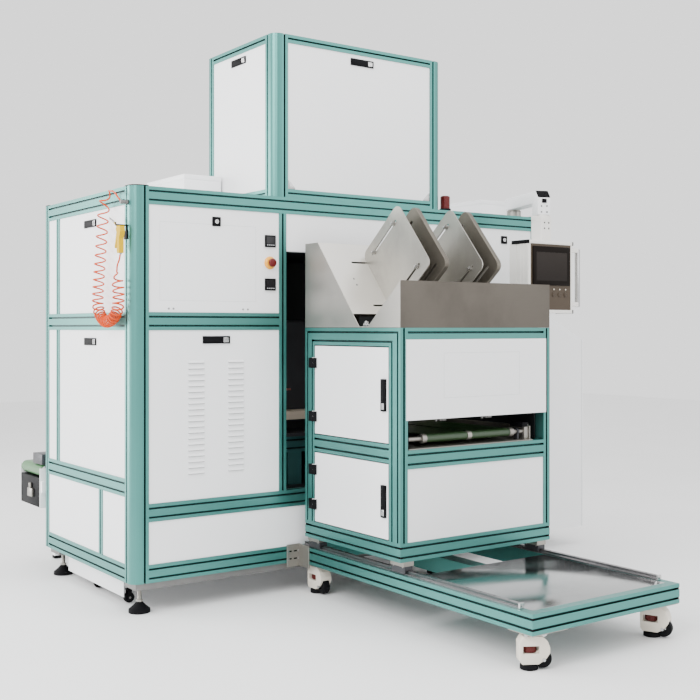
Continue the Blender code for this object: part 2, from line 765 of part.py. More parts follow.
def infeed_table():
    """The table inside the mouth: two slotted cross rails under a steel plate."""
    x0, x1 = LEFT_MULLION + MULLION + LINING + 2 * GAP, RIGHT_MULLION - LINING - 2 * GAP
    floor = FRONT_RAIL_LEVEL + PROFILE + LINING + 2 * GAP
    level = floor + 0.160
    pieces = []
    for y in (0.120, 0.560):
        pieces.append(bar((x0, y, level), (x1, y + PROFILE, level + PROFILE), "X", ["-Y"]))
        for x in (x0 + 0.080, (x0 + x1) / 2, x1 - 0.160):
            pieces.append(block((x, y, floor), (x + PROFILE, y + PROFILE, level + BITE)))
    for x in (x0 + 0.300, x1 - 0.380):
        pieces.append(bar((x, 0.120 + PROFILE - BITE, level), (x + PROFILE, 0.560 + BITE,
                          level + PROFILE), "Y", ["-X"]))
    publish(fuse(pieces), "table_frame", TEAL, MACHINE)
    top = level + PROFILE + GAP
    plate = block((x0, 0.100, top), (x1, 0.660, top + 0.015))
    chambers = [plate, block((x0 + 0.080, 0.280, top + 0.015 - BITE),
                             (x1 - 0.080, 0.640, top + 0.065))]
    for x in (x0 + 0.130, x1 - 0.450):
        chambers.append(block((x, 0.300, top + 0.065 - BITE),
                              (x + 0.320, 0.620, top + 0.575), 0.008, 1))
    publish(fuse(chambers), "vacuum_chambers", DARK, MACHINE)


def foot_frame():
    """The steel sills, side members, skirts and wheels that the machine stands on."""
    low = UNDERSIDE - GAP - SILL_HEIGHT
    high = UNDERSIDE - GAP
    reach = SILL_REACH
    feet_x = (FOOT_INSET_X, MACHINE_WIDTH - FOOT_INSET_X)
    feet_y = (FOOT_INSET_Y, MACHINE_DEPTH - FOOT_INSET_Y)
    pieces = []
    for y in feet_y:
        pieces.append(block((feet_x[0] - reach, y - SILL_DEPTH / 2, low),
                            (feet_x[1] + reach, y + SILL_DEPTH / 2, high)))
    for x, side in ((feet_x[0], -1), (feet_x[1], 1)):
        edges = sorted((x + side * 0.020, x - side * 0.046))
        pieces.append(block((edges[0], feet_y[0], low + BITE),
                            (edges[1], feet_y[1], high - BITE)))
    for x in feet_x:
        for y in feet_y:
            profile = [(0, low + BITE), (STEM_RADIUS, low + BITE), (STEM_RADIUS, 0.048),
                       (0.020, 0.040), (FOOT_RADIUS - 0.006, FOOT_PAD),
                       (FOOT_RADIUS, FOOT_PAD * 0.6), (FOOT_RADIUS, 0), (0, 0)]
            pieces.append(turned(profile, (x, y, 0)))
    for x, side in ((feet_x[0], -1), (feet_x[1], 1)):
        face = x + side * 0.0165
        middle = MACHINE_DEPTH / 2
        pieces.append(block((face - 0.0015, middle - SKIRT_LENGTH / 2, SKIRT_DROP),
                            (face + 0.0015, middle + SKIRT_LENGTH / 2, high - 2 * BITE)))
        inward = x - side * 0.032
        for y in (0.283, MACHINE_DEPTH - 0.283):
            pieces.append(block((inward - 0.010, y - 0.016, 0.050),
                                (inward + 0.010, y + 0.016, low + 2 * BITE)))
            pieces.append(rod((inward - 0.015, y, WHEEL_RADIUS), (inward + 0.015, y,
                              WHEEL_RADIUS), WHEEL_RADIUS, 24))
    publish(fuse(pieces), "foot_frame", STEEL, MACHINE, smooth=35)


def end_cover():
    """The white cover on the right end, with its sloping top."""
    left = MACHINE_WIDTH + GAP
    right = left + COVER_LENGTH
    shape = [(left, COVER_UNDERSIDE), (right, COVER_UNDERSIDE), (right, COVER_LOW),
             (left, COVER_HIGH)]
    publish(outline([shape], "Y", 0, MACHINE_DEPTH), "end_cover", WHITE, MACHINE)


def beacon():
    """The warning lamp on the top rail."""
    base = MACHINE_TOP + GAP
    lamp = turned([(0, 0.083), (0.020, 0.083), (0.026, 0.077), (0.026, 0.014), (0.031, 0.012),
                   (0.031, 0), (0, 0)], (1.842, RAIL_DEPTH / 2 + 0.012, base))
    publish(lamp, "beacon", RED, MACHINE, (1.842, RAIL_DEPTH / 2 + 0.012, base), 40)


# Upper box

def upper_box():
    """The box on the roof: round posts and slim rails round a closed white housing."""
    base = MACHINE_TOP + GAP
    top = base + UPPER_HEIGHT
    right = UPPER_LEFT + UPPER_WIDTH
    posts = [corner_post(UPPER_LEFT, 0, 1, 1, base, top),
             corner_post(right, 0, -1, 1, base, top),
             corner_post(UPPER_LEFT, UPPER_DEPTH, 1, -1, base, top),
             corner_post(right, UPPER_DEPTH, -1, -1, base, top)]
    x0, x1 = UPPER_LEFT + PROFILE - BITE, right - PROFILE + BITE
    y0, y1 = PROFILE - BITE, UPPER_DEPTH - PROFILE + BITE
    rails = []
    for z in (base, top - UPPER_RAIL):
        z1 = z + UPPER_RAIL
        rails.append(bar((x0, 0, z), (x1, RAIL_DEPTH, z1), "X", ["-Y"]))
        rails.append(bar((x0, UPPER_DEPTH - RAIL_DEPTH, z), (x1, UPPER_DEPTH, z1), "X", ["+Y"]))
        rails.append(bar((UPPER_LEFT, y0, z), (UPPER_LEFT + RAIL_DEPTH, y1, z1), "Y", ["-X"]))
        rails.append(bar((right - RAIL_DEPTH, y0, z), (right, y1, z1), "Y", ["+X"]))
    publish(fuse(posts + rails), "upper_frame", TEAL, MACHINE)
    inner = RAIL_DEPTH + GAP
    low, high = base + UPPER_RAIL + GAP, top - UPPER_RAIL - GAP
    core = block((UPPER_LEFT + inner, inner, base), (right - inner, UPPER_DEPTH - inner,
                 top - GAP))
    notch = PROFILE + GAP
    cutters = []
    for cx0, cx1 in ((0, UPPER_LEFT + notch), (right - notch, right + 1)):
        for cy0, cy1 in ((-1, notch), (UPPER_DEPTH - notch, UPPER_DEPTH + 1)):
            cutters.append(block((cx0, cy0, base - 1), (cx1, cy1, top + 1)))
    core = cut(core, cutters)
    x0, x1 = UPPER_LEFT + PROFILE + GAP, right - PROFILE - GAP
    y0, y1 = PROFILE + GAP, UPPER_DEPTH - PROFILE - GAP
    fields = [block((x0, UPPER_DEPTH - inner - BITE, low), (x1, UPPER_DEPTH - PANEL_RECESS, high)),
              block((right - inner - BITE, y0, low), (right - PANEL_RECESS, y1, high))]
    publish(fuse([core] + fields), "upper_housing", WHITE, MACHINE)
    latch = LATCH_LENGTH / 2
    z = high - 0.020
    centre = (UPPER_LEFT + right) / 2
    front = block((x0, PANEL_RECESS, low), (x1, PANEL_RECESS + PANEL_THICK, high))
    front_catch = block((centre - latch, PANEL_RECESS - LATCH_PROUD, z - LATCH_HEIGHT),
                        (centre + latch, PANEL_RECESS + BITE, z), 0.001, 1)
    publish(fuse([front, front_catch]), "upper_front_panel", WHITE, MACHINE)
    face = UPPER_LEFT + PANEL_RECESS
    left = block((face, y0, low), (face + PANEL_THICK, y1, high))
    centre = UPPER_DEPTH / 2
    left_catch = block((face - LATCH_PROUD, centre - latch, z - LATCH_HEIGHT),
                       (face + BITE, centre + latch, z), 0.001, 1)
    publish(fuse([left, left_catch]), "upper_left_panel", WHITE, MACHINE)


# Outfeed conveyor

def belt_loop(half_length, radius, thickness, low, high, axis):
    """A belt round two rollers: a flat loop with round ends."""
    outer = capsule((-half_length, 0), (half_length, 0), 2 * radius, 8)
    inner = capsule((-half_length, 0), (half_length, 0), 2 * (radius - thickness), 8)
    return outline([outer, inner], axis, low, high)


def drum_radius(radius, thickness):
    """The radius of a drum that fills a belt's round end, inside the end's flats."""
    return (radius - thickness) * cos(pi / 16) - GAP


def outfeed_conveyor():
    """The cross conveyor that carries finished bricks off behind the machine."""
    y0 = MACHINE_DEPTH + OUTFEED_GAP
    y1 = y0 + OUTFEED_CONVEYOR_WIDTH
    left = -OUTFEED_END
    right = left + OUTFEED_LENGTH
    top = OUTFEED_BELT_TOP - 0.015
    low = top - OUTFEED_SIDE_DEPTH
    plate = OUTFEED_PLATE
    axle = OUTFEED_BELT_TOP - OUTFEED_ROLLER
    pieces = [block((left, y0, low), (right, y0 + plate, top)),
              block((left, y1 - plate, low), (right, y1, top))]
    drum = drum_radius(OUTFEED_ROLLER, BELT_THICK)
    inside = OUTFEED_CONVEYOR_WIDTH / 2 - plate
    half = inside + BITE
    profile = [(0, half), (0.012, half), (0.012, inside - 0.004), (drum, inside - 0.004),
               (drum, 0.004 - inside), (0.012, 0.004 - inside), (0.012, -half), (0, -half)]
    for x in (left + OUTFEED_ROLLER + 0.004, right - OUTFEED_ROLLER - 0.004):
        roller = turned(profile, (0, 0, 0), 24)
        pieces.append(moved(roller, Matrix.Translation((x, (y0 + y1) / 2, axle))
                            @ Matrix.Rotation(pi / 2, 4, "X")))
    for x in (left + 0.150, (left + right) / 2, right - 0.220):
        pieces.append(block((x, y0 + plate - BITE, low + 0.010), (x + 0.060, y1 - plate + BITE,
                            low + 0.070)))
    for x in (left + 0.180, right - 0.220):
        for y in (y0, y1 - 0.040):
            pieces.append(block((x, y, 0), (x + 0.040, y + 0.040, low + BITE)))
    pieces.append(block((left + 0.004, y0 - OUTFEED_GAP + GAP, low + 0.080),
                        (left + 0.064, y0 + BITE, low + 0.140)))
    pieces.append(block((right - 0.200, y0 - OUTFEED_GAP + GAP, low + 0.080),
                        (right - 0.140, y0 + BITE, low + 0.140)))
    publish(fuse(pieces), "outfeed_frame", WHITE, MACHINE)
    run = (OUTFEED_LENGTH - 2 * OUTFEED_ROLLER - 0.008) / 2
    loop = belt_loop(run, OUTFEED_ROLLER, BELT_THICK, y0 + plate + 0.004, y1 - plate - 0.004,
                     "Y")
    moved(loop, Matrix.Translation(((left + right) / 2, 0, axle)))
    publish(loop, "outfeed_belt", GREEN, MACHINE, smooth=30)


# Rail base

def rail_base():
    """The wheeled base: a slotted ring, a middle rail, a deck and two tracks."""
    w, h = BASE_WIDTH, PROFILE
    length = BASE_LENGTH - GAP - 0.001
    plate_end = BASE_LENGTH - GAP
    deck_back = PROFILE + DECK_LENGTH
    lip = 0.020
    middle = w / 2
    pieces = [bar((0, 0, 0), (w, PROFILE, h), "X", ["-Y", "+Z"]),
              bar((0, PROFILE - BITE, 0), (PROFILE, length, h), "Y", ["-X", "+Z"]),
              bar((w - PROFILE, PROFILE - BITE, 0), (w, length, h), "Y", ["+X", "+Z"]),
              bar((middle - PROFILE / 2, PROFILE - BITE, 0), (middle + PROFILE / 2,
                  length - PROFILE + BITE, h), "Y", ["+Z"]),
              bar((PROFILE - BITE, deck_back - PROFILE + lip, 0),
                  (w - PROFILE + BITE, deck_back + lip, h - 0.0005), "X", ["+Y"]),
              bar((PROFILE - BITE, length - PROFILE, 0), (w - PROFILE + BITE, length, h),
                  "X", ["-Y"])]
    for side, x in ((-1, 0), (1, w)):
        reach = side * 0.072
        near, far = x - side * BITE, x + side * 0.006
        pieces.append(block((min(near, x + reach), plate_end - 0.006, -0.018),
                            (max(near, x + reach), plate_end, 0.088)))
        pieces.append(block((min(near, far), length - 0.090, -0.0175),
                            (max(near, far), plate_end - 0.003, 0.0875)))
    frame = fuse(pieces)
    recess = block((PROFILE - 0.012, PROFILE - 0.012, h - DECK_THICK),
                   (w - PROFILE + 0.012, deck_back, h + 1))
    base = lead(cut(frame, [recess]), "base_frame", TEAL, MACHINE,
                (BASE_LEFT, -BASE_LENGTH, BASE_BOTTOM))
    deck = block((PROFILE - 0.012 + GAP, PROFILE - 0.012 + GAP, h - DECK_THICK + GAP),
                 (w - PROFILE + 0.012 - GAP, deck_back - GAP, h + GAP))
    publish(deck, "base_deck", STEEL, base)
    for name, x in (("left_track", TRACK_INSET), ("right_track", w - TRACK_INSET)):
        half = TRACK_WIDTH / 2
        foot = h + GAP
        section = [(x - half, foot), (x + half, foot), (x + half, foot + 0.006),
                   (x + half * 0.6, foot + 0.011), (x + half * 0.8, foot + TRACK_HEIGHT),
                   (x - half * 0.8, foot + TRACK_HEIGHT), (x - half * 0.6, foot + 0.011),
                   (x - half, foot + 0.006)]
        publish(outline([section], "Y", TRACK_END, length - 0.020), name, STEEL, base)
    return base


def castor(base, name, x, y, heading):
    """A levelling castor: plate, moulded body, pad on the floor, wheel just off it."""
    top = -GAP
    floor = -BASE_BOTTOM
    half = CASTOR_BODY_WIDTH / 2
    body = [(-half, -0.012), (half * 0.9, -0.012), (half + 0.004, -0.030),
            (CASTOR_OFFSET + 0.010, -0.074), (CASTOR_OFFSET + 0.012, -0.100),
            (CASTOR_OFFSET - 0.014, -0.112), (-half * 0.9, -0.106), (-half - 0.003, -0.080)]
    solid = outline([body], "Y", -half * 0.62, half * 0.62)
    window = block((-half * 0.75, -1, -0.062), (half * 0.55, 1, -0.034))
    wheel_room = rod((CASTOR_OFFSET, -0.014, floor + 0.004 + CASTOR_WHEEL_RADIUS),
                     (CASTOR_OFFSET, 0.014, floor + 0.004 + CASTOR_WHEEL_RADIUS),
                     CASTOR_WHEEL_RADIUS + 0.004)
    solid = cut(solid, [window, wheel_room])
    pieces = [solid, block((-half, -half, -0.006 + top), (half, half, top)),
              rod((0, 0, -0.014), (0, 0, top - 0.003), 0.020),
              rod((-0.004, 0, -0.058), (-0.004, 0, -0.036), 0.022),
              rod((-0.004, 0, -0.064), (-0.004, 0, -0.030), 0.008),
              rod((-0.004, 0, floor), (-0.004, 0, floor + CASTOR_PAD), CASTOR_PAD_RADIUS),
              rod((-0.004, 0, floor + CASTOR_PAD - BITE), (-0.004, 0, -0.100), 0.012),
              rod((CASTOR_OFFSET, -CASTOR_WHEEL_WIDTH / 2, floor + 0.004 + CASTOR_WHEEL_RADIUS),
                  (CASTOR_OFFSET, CASTOR_WHEEL_WIDTH / 2, floor + 0.004 + CASTOR_WHEEL_RADIUS),
                  CASTOR_WHEEL_RADIUS, 24),
              rod((CASTOR_OFFSET, -half * 0.5, floor + 0.004 + CASTOR_WHEEL_RADIUS),
                  (CASTOR_OFFSET, half * 0.5, floor + 0.004 + CASTOR_WHEEL_RADIUS), 0.006)]
    made = fuse(pieces)
    spin = Matrix.Translation((x, y, 0)) @ Matrix.Rotation(radians(heading), 4, "Z")
    moved(made, spin)
    publish(made, name, IVORY, base, (x, y, 0), 35)


# Bag loader

BEARING_GAP = 0.0005
LOADER_BASE = (BASE_BOTTOM + PROFILE + GAP + TRACK_HEIGHT + BEARING_GAP + BEARING_ROOF
               + BEARING_PLATE + 2 * GAP)
HINGE_Y = LOADER_DEPTH - PROFILE - DOOR_CLEAR / 2
HINGE_X = -HINGE_RADIUS - 0.001
SHELF_TOP = LOADER_HEIGHT + GAP


def loader_frame():
    """The loader's frame: two slotted rings, four posts and a belt of middle rails."""
    w, d, h = LOADER_WIDTH, LOADER_DEPTH, LOADER_HEIGHT
    depth = RAIL_DEPTH
    pieces = []
    for z in (0, h - PROFILE):
        z1 = z + PROFILE
        pieces.append(bar((0, 0, z), (w, depth, z1), "X", ["-Y"]))
        pieces.append(bar((0, d - depth, z), (w, d, z1), "X", ["+Y"]))
        pieces.append(bar((0, depth - BITE, z), (depth, d - depth + BITE, z1), "Y", ["-X"]))
        pieces.append(bar((w - depth, depth - BITE, z), (w, d - depth + BITE, z1), "Y", ["+X"]))
    z0, z1 = PROFILE - BITE, h - PROFILE + BITE
    for x0, x_face in ((0, "-X"), (w - LOADER_POST, "+X")):
        pieces.append(bar((x0, 0, z0), (x0 + LOADER_POST, PROFILE, z1), "Z", [x_face, "-Y"]))
        pieces.append(bar((x0, d - PROFILE, z0), (x0 + LOADER_POST, d, z1), "Z",
                          [x_face, "+Y"]))
    y0, y1 = PROFILE - BITE, d - PROFILE + BITE
    z = LOADER_SIDE_RAIL
    pieces.append(bar((0, y0, z), (depth, y1, z + PROFILE), "Y", ["-X"]))
    pieces.append(bar((w - depth, y0, z), (w, y1, z + PROFILE), "Y", ["+X"]))
    x0, x1 = LOADER_POST - BITE, w - LOADER_POST + BITE
    z = LOADER_FRONT_RAIL
    pieces.append(bar((x0, 0, z), (x1, depth, z + PROFILE), "X", ["-Y"]))
    pieces.append(bar((x0, d - depth, z), (x1, d, z + PROFILE), "X", ["+Y"]))
    for level in hinge_levels():
        pieces.append(rod((HINGE_X, HINGE_Y, level - HINGE_HEIGHT / 2),
                          (HINGE_X, HINGE_Y, level - GAP / 2), HINGE_RADIUS, 16))
        pieces.append(block((HINGE_X - 0.0015, HINGE_Y, level - HINGE_HEIGHT / 2),
                            (HINGE_X + HINGE_RADIUS - 0.001, HINGE_Y + HINGE_WIDTH,
                             level - GAP / 2)))
        pieces.append(block((HINGE_X + 0.001, HINGE_Y + DOOR_CLEAR / 2,
                             level - HINGE_HEIGHT / 2),
                            (BITE, HINGE_Y + HINGE_WIDTH, level - GAP / 2)))
    return lead(fuse(pieces), "loader_frame", TEAL, MACHINE,
                (LOADER_LEFT, -LOADER_STANDOFF - LOADER_DEPTH, LOADER_BASE))


def door_levels():
    """Bottom and top of the two door openings."""
    low = (PROFILE, LOADER_SIDE_RAIL)
    high = (LOADER_SIDE_RAIL + PROFILE, LOADER_HEIGHT - PROFILE)
    return {"loader_lower_door": low, "loader_upper_door": high}


def hinge_levels():
    """Heights of the four hinges, near the ends of each door."""
    levels = []
    for low, high in door_levels().values():
        levels += [low + HINGE_INSET, high - HINGE_INSET]
    return levels


def loader_doors(loader):
    """The two doors in the loader's left side, hinged at the back, with latch handles."""
    for name, (low, high) in door_levels().items():
        y0 = PROFILE + DOOR_CLEAR
        y1 = LOADER_DEPTH - PROFILE - DOOR_CLEAR
        z0, z1 = low + DOOR_CLEAR, high - DOOR_CLEAR
        pieces = [block((0, y0, z0), (DOOR_THICK, y1, z1))]
        for level in (low + HINGE_INSET, high - HINGE_INSET):
            pieces.append(rod((HINGE_X, HINGE_Y, level + GAP / 2),
                              (HINGE_X, HINGE_Y, level + HINGE_HEIGHT / 2), HINGE_RADIUS, 16))
            pieces.append(block((HINGE_X - 0.0015, HINGE_Y - HINGE_WIDTH, level + GAP / 2),
                                (HINGE_X + HINGE_RADIUS - 0.001, HINGE_Y,
                                 level + HINGE_HEIGHT / 2)))
            pieces.append(block((HINGE_X + 0.001, HINGE_Y - HINGE_WIDTH, level + GAP / 2),
                                (BITE, y1 - 0.001, level + HINGE_HEIGHT / 2)))
        middle = (z0 + z1) / 2
        grip = y0 + 0.012
        pieces.append(block((-HANDLE_PROUD, grip, middle - HANDLE_HEIGHT / 2),
                            (BITE, grip + HANDLE_WIDTH, middle + HANDLE_HEIGHT / 2), 0.003, 2))
        made = fuse(pieces)
        publish(made, name, WHITE, loader, (HINGE_X, HINGE_Y, 0))


def loader_panels(loader):
    """The front cover, the low front panel and the casing of the right and back sides."""
    w, d, h = LOADER_WIDTH, LOADER_DEPTH, LOADER_HEIGHT
    x0, x1 = filler(LOADER_POST, w - LOADER_POST)
    cover_low = LOADER_FRONT_RAIL + PROFILE + EXIT_HEIGHT
    edge = 0.010
    cover = fuse([block((x0, PANEL_RECESS, cover_low), (x1, PANEL_RECESS + PANEL_THICK,
                        h - PROFILE - GAP)),
                  block((LOADER_POST - edge, -0.006, cover_low + 0.001),
                        (w - LOADER_POST + edge, -GAP, h - PROFILE + 0.030)),
                  block((x0 + 0.020, -0.002, cover_low + 0.020),
                        (x1 - 0.020, PANEL_RECESS + BITE, h - PROFILE - 0.020))])
    publish(cover, "loader_front_cover", WHITE, loader)
    inner = RAIL_DEPTH + GAP
    skin = 0.003
    low, high = PROFILE + GAP, LOADER_FRONT_RAIL + PROFILE - 2 * BITE
    left, right, front, back = inner, w - inner, inner, d - inner
    shell = [block((right - skin, front, low), (right, back, high)),
             block((right - skin, PROFILE + GAP, low), (right, d - PROFILE - GAP,
                   h - PROFILE - GAP)),
             block((left, front, low), (right, front + skin, high)),
             block((left, back - skin, low), (right, back, high))]
    y0, y1 = PROFILE + GAP, d - PROFILE - GAP
    for level in ((PROFILE, LOADER_SIDE_RAIL), (LOADER_SIDE_RAIL + PROFILE, h - PROFILE)):
        z0, z1 = filler(*level)
        shell.append(block((right - BITE, y0, z0), (w - PANEL_RECESS, y1, z1)))
    z0, z1 = filler(PROFILE, LOADER_FRONT_RAIL)
    shell.append(block((x0, PANEL_RECESS, z0), (x1, front + BITE, z1)))
    shell.append(block((x0, back - BITE, z0), (x1, d - PANEL_RECESS, z1)))
    publish(fuse(shell), "loader_casing", WHITE, loader)


def bearings(loader):
    """Four carriages under the loader's corners, each astride a track."""
    ahead = {"left": BASE_LEFT + TRACK_INSET - LOADER_LEFT,
             "right": BASE_LEFT + BASE_WIDTH - TRACK_INSET - LOADER_LEFT}
    half = TRACK_WIDTH / 2
    for side, x in ahead.items():
        for end, y in (("front", 0.0), ("back", LOADER_DEPTH - BEARING_LENGTH)):
            top = -GAP
            under = top - BEARING_PLATE
            roof_level = under - BEARING_ROOF
            skirt = roof_level - TRACK_HEIGHT + 0.006
            wall = half + DOOR_CLEAR / 4
            section = [(x - 0.028, top), (x - 0.028, under), (x - wall - 0.009, under),
                       (x - wall - 0.009, skirt), (x - wall, skirt), (x - wall, roof_level),
                       (x + wall, roof_level), (x + wall, skirt), (x + wall + 0.009, skirt),
                       (x + wall + 0.009, under), (x + 0.028, under), (x + 0.028, top)]
            left = max(x - 0.028, 0)
            made = outline([section], "Y", y, y + BEARING_LENGTH)
            publish(made, "bearing_" + end + "_" + side, DARK, loader, (left, y, 0))


def wall_point(down, out):
    """A point by the trough's back wall: down from its top edge, out from its face."""
    slope = radians(TROUGH_SLOPE)
    y = LOADER_DEPTH - TROUGH_SHELF - down * cos(slope) - out * sin(slope)
    z = SHELF_TOP + TROUGH_BACK_HEIGHT - SHEET / 2 - down * sin(slope) + out * cos(slope)
    return (y, z)


def trough(loader):
    """The stainless trough: two sloping walls, folded skirts and notched end plates."""
    w, d = LOADER_WIDTH, LOADER_DEPTH
    half = SHEET / 2
    slope = radians(TROUGH_SLOPE)
    run_to = LOADER_DEPTH - TROUGH_SHELF
    back = SHELF_TOP + TROUGH_BACK_HEIGHT - half
    front = SHELF_TOP + TROUGH_FRONT_HEIGHT - half
    tip_y = (run_to * tan(slope) - back + front + half / tan(slope)) \
        / (tan(slope) + 1 / tan(slope))
    tip_z = back - (run_to - tip_y) * tan(slope)
    throat = THROAT_WIDTH / 2
    back_foot = (tip_y + throat, tip_z + throat * tan(slope))
    front_foot = (tip_y - throat, tip_z + throat / tan(slope))
    inset = 0.001
    back_wall = folded_sheet([back_foot, (run_to, back), (d - half, back),
                              (d - half, SHELF_TOP)], inset, w - inset, SHEET)
    front_wall = folded_sheet([front_foot, (half, front), (half, SHELF_TOP)],
                              inset, w - inset, SHEET)
    strip = SHELF_TOP + 0.006 - tip_z
    notch = [(inset, SHELF_TOP + inset), (half, front),
             (tip_y - strip * tan(slope), tip_z + strip),
             (tip_y + strip / tan(slope), tip_z + strip), (run_to, back),
             (d - half, back), (d - half, SHELF_TOP + inset)]
    shell = fuse([outline([notch], "X", 0, SHEET), back_wall, front_wall,
                  outline([notch], "X", w - SHEET, w)])
    slots = []
    for pair in (-1, 1):
        middle = w / 2 + pair * PAIR_OFFSET
        for down in tab_places():
            slot = capsule((middle - WALL_SLOT_REACH, 0), (middle + WALL_SLOT_REACH, 0),
                           WALL_SLOT + 2 * GAP, 4)
            cutter = outline([slot], "Z", -0.020, 0.020)
            place = wall_point(down, 0)
            lie = (Matrix.Translation((0, *place))
                   @ Matrix.Rotation(slope, 4, "X"))
            slots.append(moved(cutter, lie))
    publish(cut(shell, slots), "trough", STEEL, loader)


def tab_places():
    """How far down the wall the guide plates' two feet pass through it."""
    return (PLATE_DROP + FOOT_TAB_EDGE, PLATE_DROP + PLATE_LENGTH - FOOT_TAB_EDGE)


def guide_plate(loader, name, x, thick, padded):
    """A guide plate square to the trough's wall, slotted for its clamps."""
    slope = radians(TROUGH_SLOPE)
    lift = SHEET / 2 + GAP
    outer = rounded_rectangle((0, lift), (PLATE_LENGTH, PLATE_DEPTH), PLATE_RADIUS)
    loops = [outer]
    inset = 0.064
    for edge in (PLATE_SLOT_EDGE, PLATE_LENGTH - PLATE_SLOT_EDGE):
        loops.append(capsule((edge, inset), (edge, PLATE_DEPTH - inset), PLATE_SLOT_WIDTH))
    plate = outline(loops, "Z", -thick / 2, thick / 2)
    if padded:
        rim = plate.modifiers.new("rim", "BEVEL")
        rim.width = 0.005
        rim.segments = 2
        rim.limit_method = "ANGLE"
        rim.angle_limit = radians(50)
        plate = evaluated(plate)
    feet = []
    reach = WALL_SLOT / 2
    for down in tab_places():
        at = down - PLATE_DROP
        feet.append(block((at - reach, -0.030, -0.003), (at + reach, lift + 0.010, 0.003)))
        feet.append(block((at - 0.014, -0.030, -FOOT_TAB), (at + 0.014, -SHEET / 2 - GAP,
                    FOOT_TAB)))
    plate = fuse([plate] + feet)
    y, z = wall_point(PLATE_DROP, 0)
    down_wall = Vector((0, -cos(slope), -sin(slope)))
    out = Vector((0, -sin(slope), cos(slope)))
    side = down_wall.cross(out)
    basis = Matrix((down_wall, out, side)).transposed().to_4x4()
    moved(plate, Matrix.Translation((x, y, z)) @ basis)
    publish(plate, name, STEEL, loader, (x, y, z))


def guide_plates(loader):
    """Two pairs of guide plates across the trough, each a slotted and a padded plate."""
    for pair, centre in (("left", LOADER_WIDTH / 2 - PAIR_OFFSET),
                         ("right", LOADER_WIDTH / 2 + PAIR_OFFSET)):
        guide_plate(loader, pair + "_guide_plate", centre - PAIR_SPACE / 2, PLATE_THICK, False)
        guide_plate(loader, pair + "_padded_guide", centre + PAIR_SPACE / 2, PAD_PLATE_THICK, True)


def ringed_roller(centre, y, level):
    """A roller shaft along X with its three rings and two belt drums, as one turning."""
    ring, drum = RING_WIDTH / 2, drum_radius(BELT_RADIUS, DELIVERY_BELT_THICK)
    reach = (ROLLER_RIGHT - ROLLER_LEFT) / 2 - BITE
    step = BELT_WIDTH + RING_WIDTH
    side = [(0, reach), (SHAFT_RADIUS, reach), (SHAFT_RADIUS, step + ring),
            (RING_RADIUS, step + ring), (RING_RADIUS, step - ring), (drum, step - ring),
            (drum, ring), (RING_RADIUS, ring)]
    profile = side + [(radius, -along) for radius, along in side[::-1]]
    return moved(turned(profile, (0, 0, 0)),
                 Matrix.Translation((centre, y, level)) @ Matrix.Rotation(pi / 2, 4, "Y"))


def delivery(loader):
    """The two delivery belts in the loader, their bed and their ringed roller shafts."""
    places = (ROLLER_SETBACK, LOADER_DEPTH - ROLLER_SETBACK)
    level = ROLLER_LEVEL
    seat = LOADER_FRONT_RAIL + PROFILE + GAP
    x0, x1 = ROLLER_LEFT, ROLLER_RIGHT
    centre = (x0 + x1) / 2
    pieces = [block((x0 + 0.001, 0.006, seat), (x1 - 0.001, LOADER_DEPTH - 0.006,
                    seat + 0.004)),
              block((x0, 0.024, seat + 0.001), (x0 + BED_PLATE, LOADER_DEPTH - 0.024,
                    level + 0.024)),
              block((x1 - BED_PLATE, 0.024, seat + 0.001), (x1, LOADER_DEPTH - 0.024,
                    level + 0.024))]
    pieces += [ringed_roller(centre, y, level) for y in places]
    publish(fuse(pieces), "delivery_bed", STEEL, loader, smooth=35)
    half = (places[1] - places[0]) / 2
    edge = BELT_WIDTH / 2 - 0.001
    for name, side in (("left_delivery_belt", -1), ("right_delivery_belt", 1)):
        middle = centre + side * (BELT_WIDTH + RING_WIDTH) / 2
        loop = belt_loop(half, BELT_RADIUS, DELIVERY_BELT_THICK, middle - edge, middle + edge, "X")
        moved(loop, Matrix.Translation((0, sum(places) / 2, level)))
        publish(loop, name, GREEN, loader, smooth=30)


# Operator panel

def panel_arm():
    """The swivelling arm: a foot on the top rail, a box arm and an elbow."""
    pivot = (ARM_PIVOT_X, ARM_PIVOT_Y, MACHINE_TOP)
    foot = turned([(0, ARM_FOOT_HEIGHT - 0.012), (ARM_FOOT_RADIUS, ARM_FOOT_HEIGHT - 0.012),
                   (ARM_FOOT_RADIUS, GAP), (0, GAP)], (0, 0, 0))
    lead(foot, "arm_foot", STEEL, MACHINE, pivot, 35)
    low = ARM_FOOT_HEIGHT
    collar = turned([(0, low + BITE), (ARM_FOOT_RADIUS - 0.006, low + BITE),
                     (ARM_FOOT_RADIUS - 0.006, ARM_FOOT_HEIGHT - 0.012 + 2 * GAP),
                     (0, ARM_FOOT_HEIGHT - 0.012 + 2 * GAP)], (0, 0, 0))
    half = ARM_WIDTH / 2
    tube_body = block((-half - 0.008, -half, low), (ARM_LENGTH + half, half,
                      low + ARM_HEIGHT), 0.006, 2)
    drop = HEAD_TOP - MACHINE_TOP + 0.108
    elbow = block((ARM_LENGTH - half, -half, drop), (ARM_LENGTH + half, half,
                  low + ARM_HEIGHT - 0.004), 0.006, 2)
    made = fuse([tube_body, elbow, collar])
    moved(made, Matrix.Rotation(radians(ARM_ANGLE), 4, "Z"))
    return lead(made, "panel_arm", WHITE, MACHINE, pivot, 35)


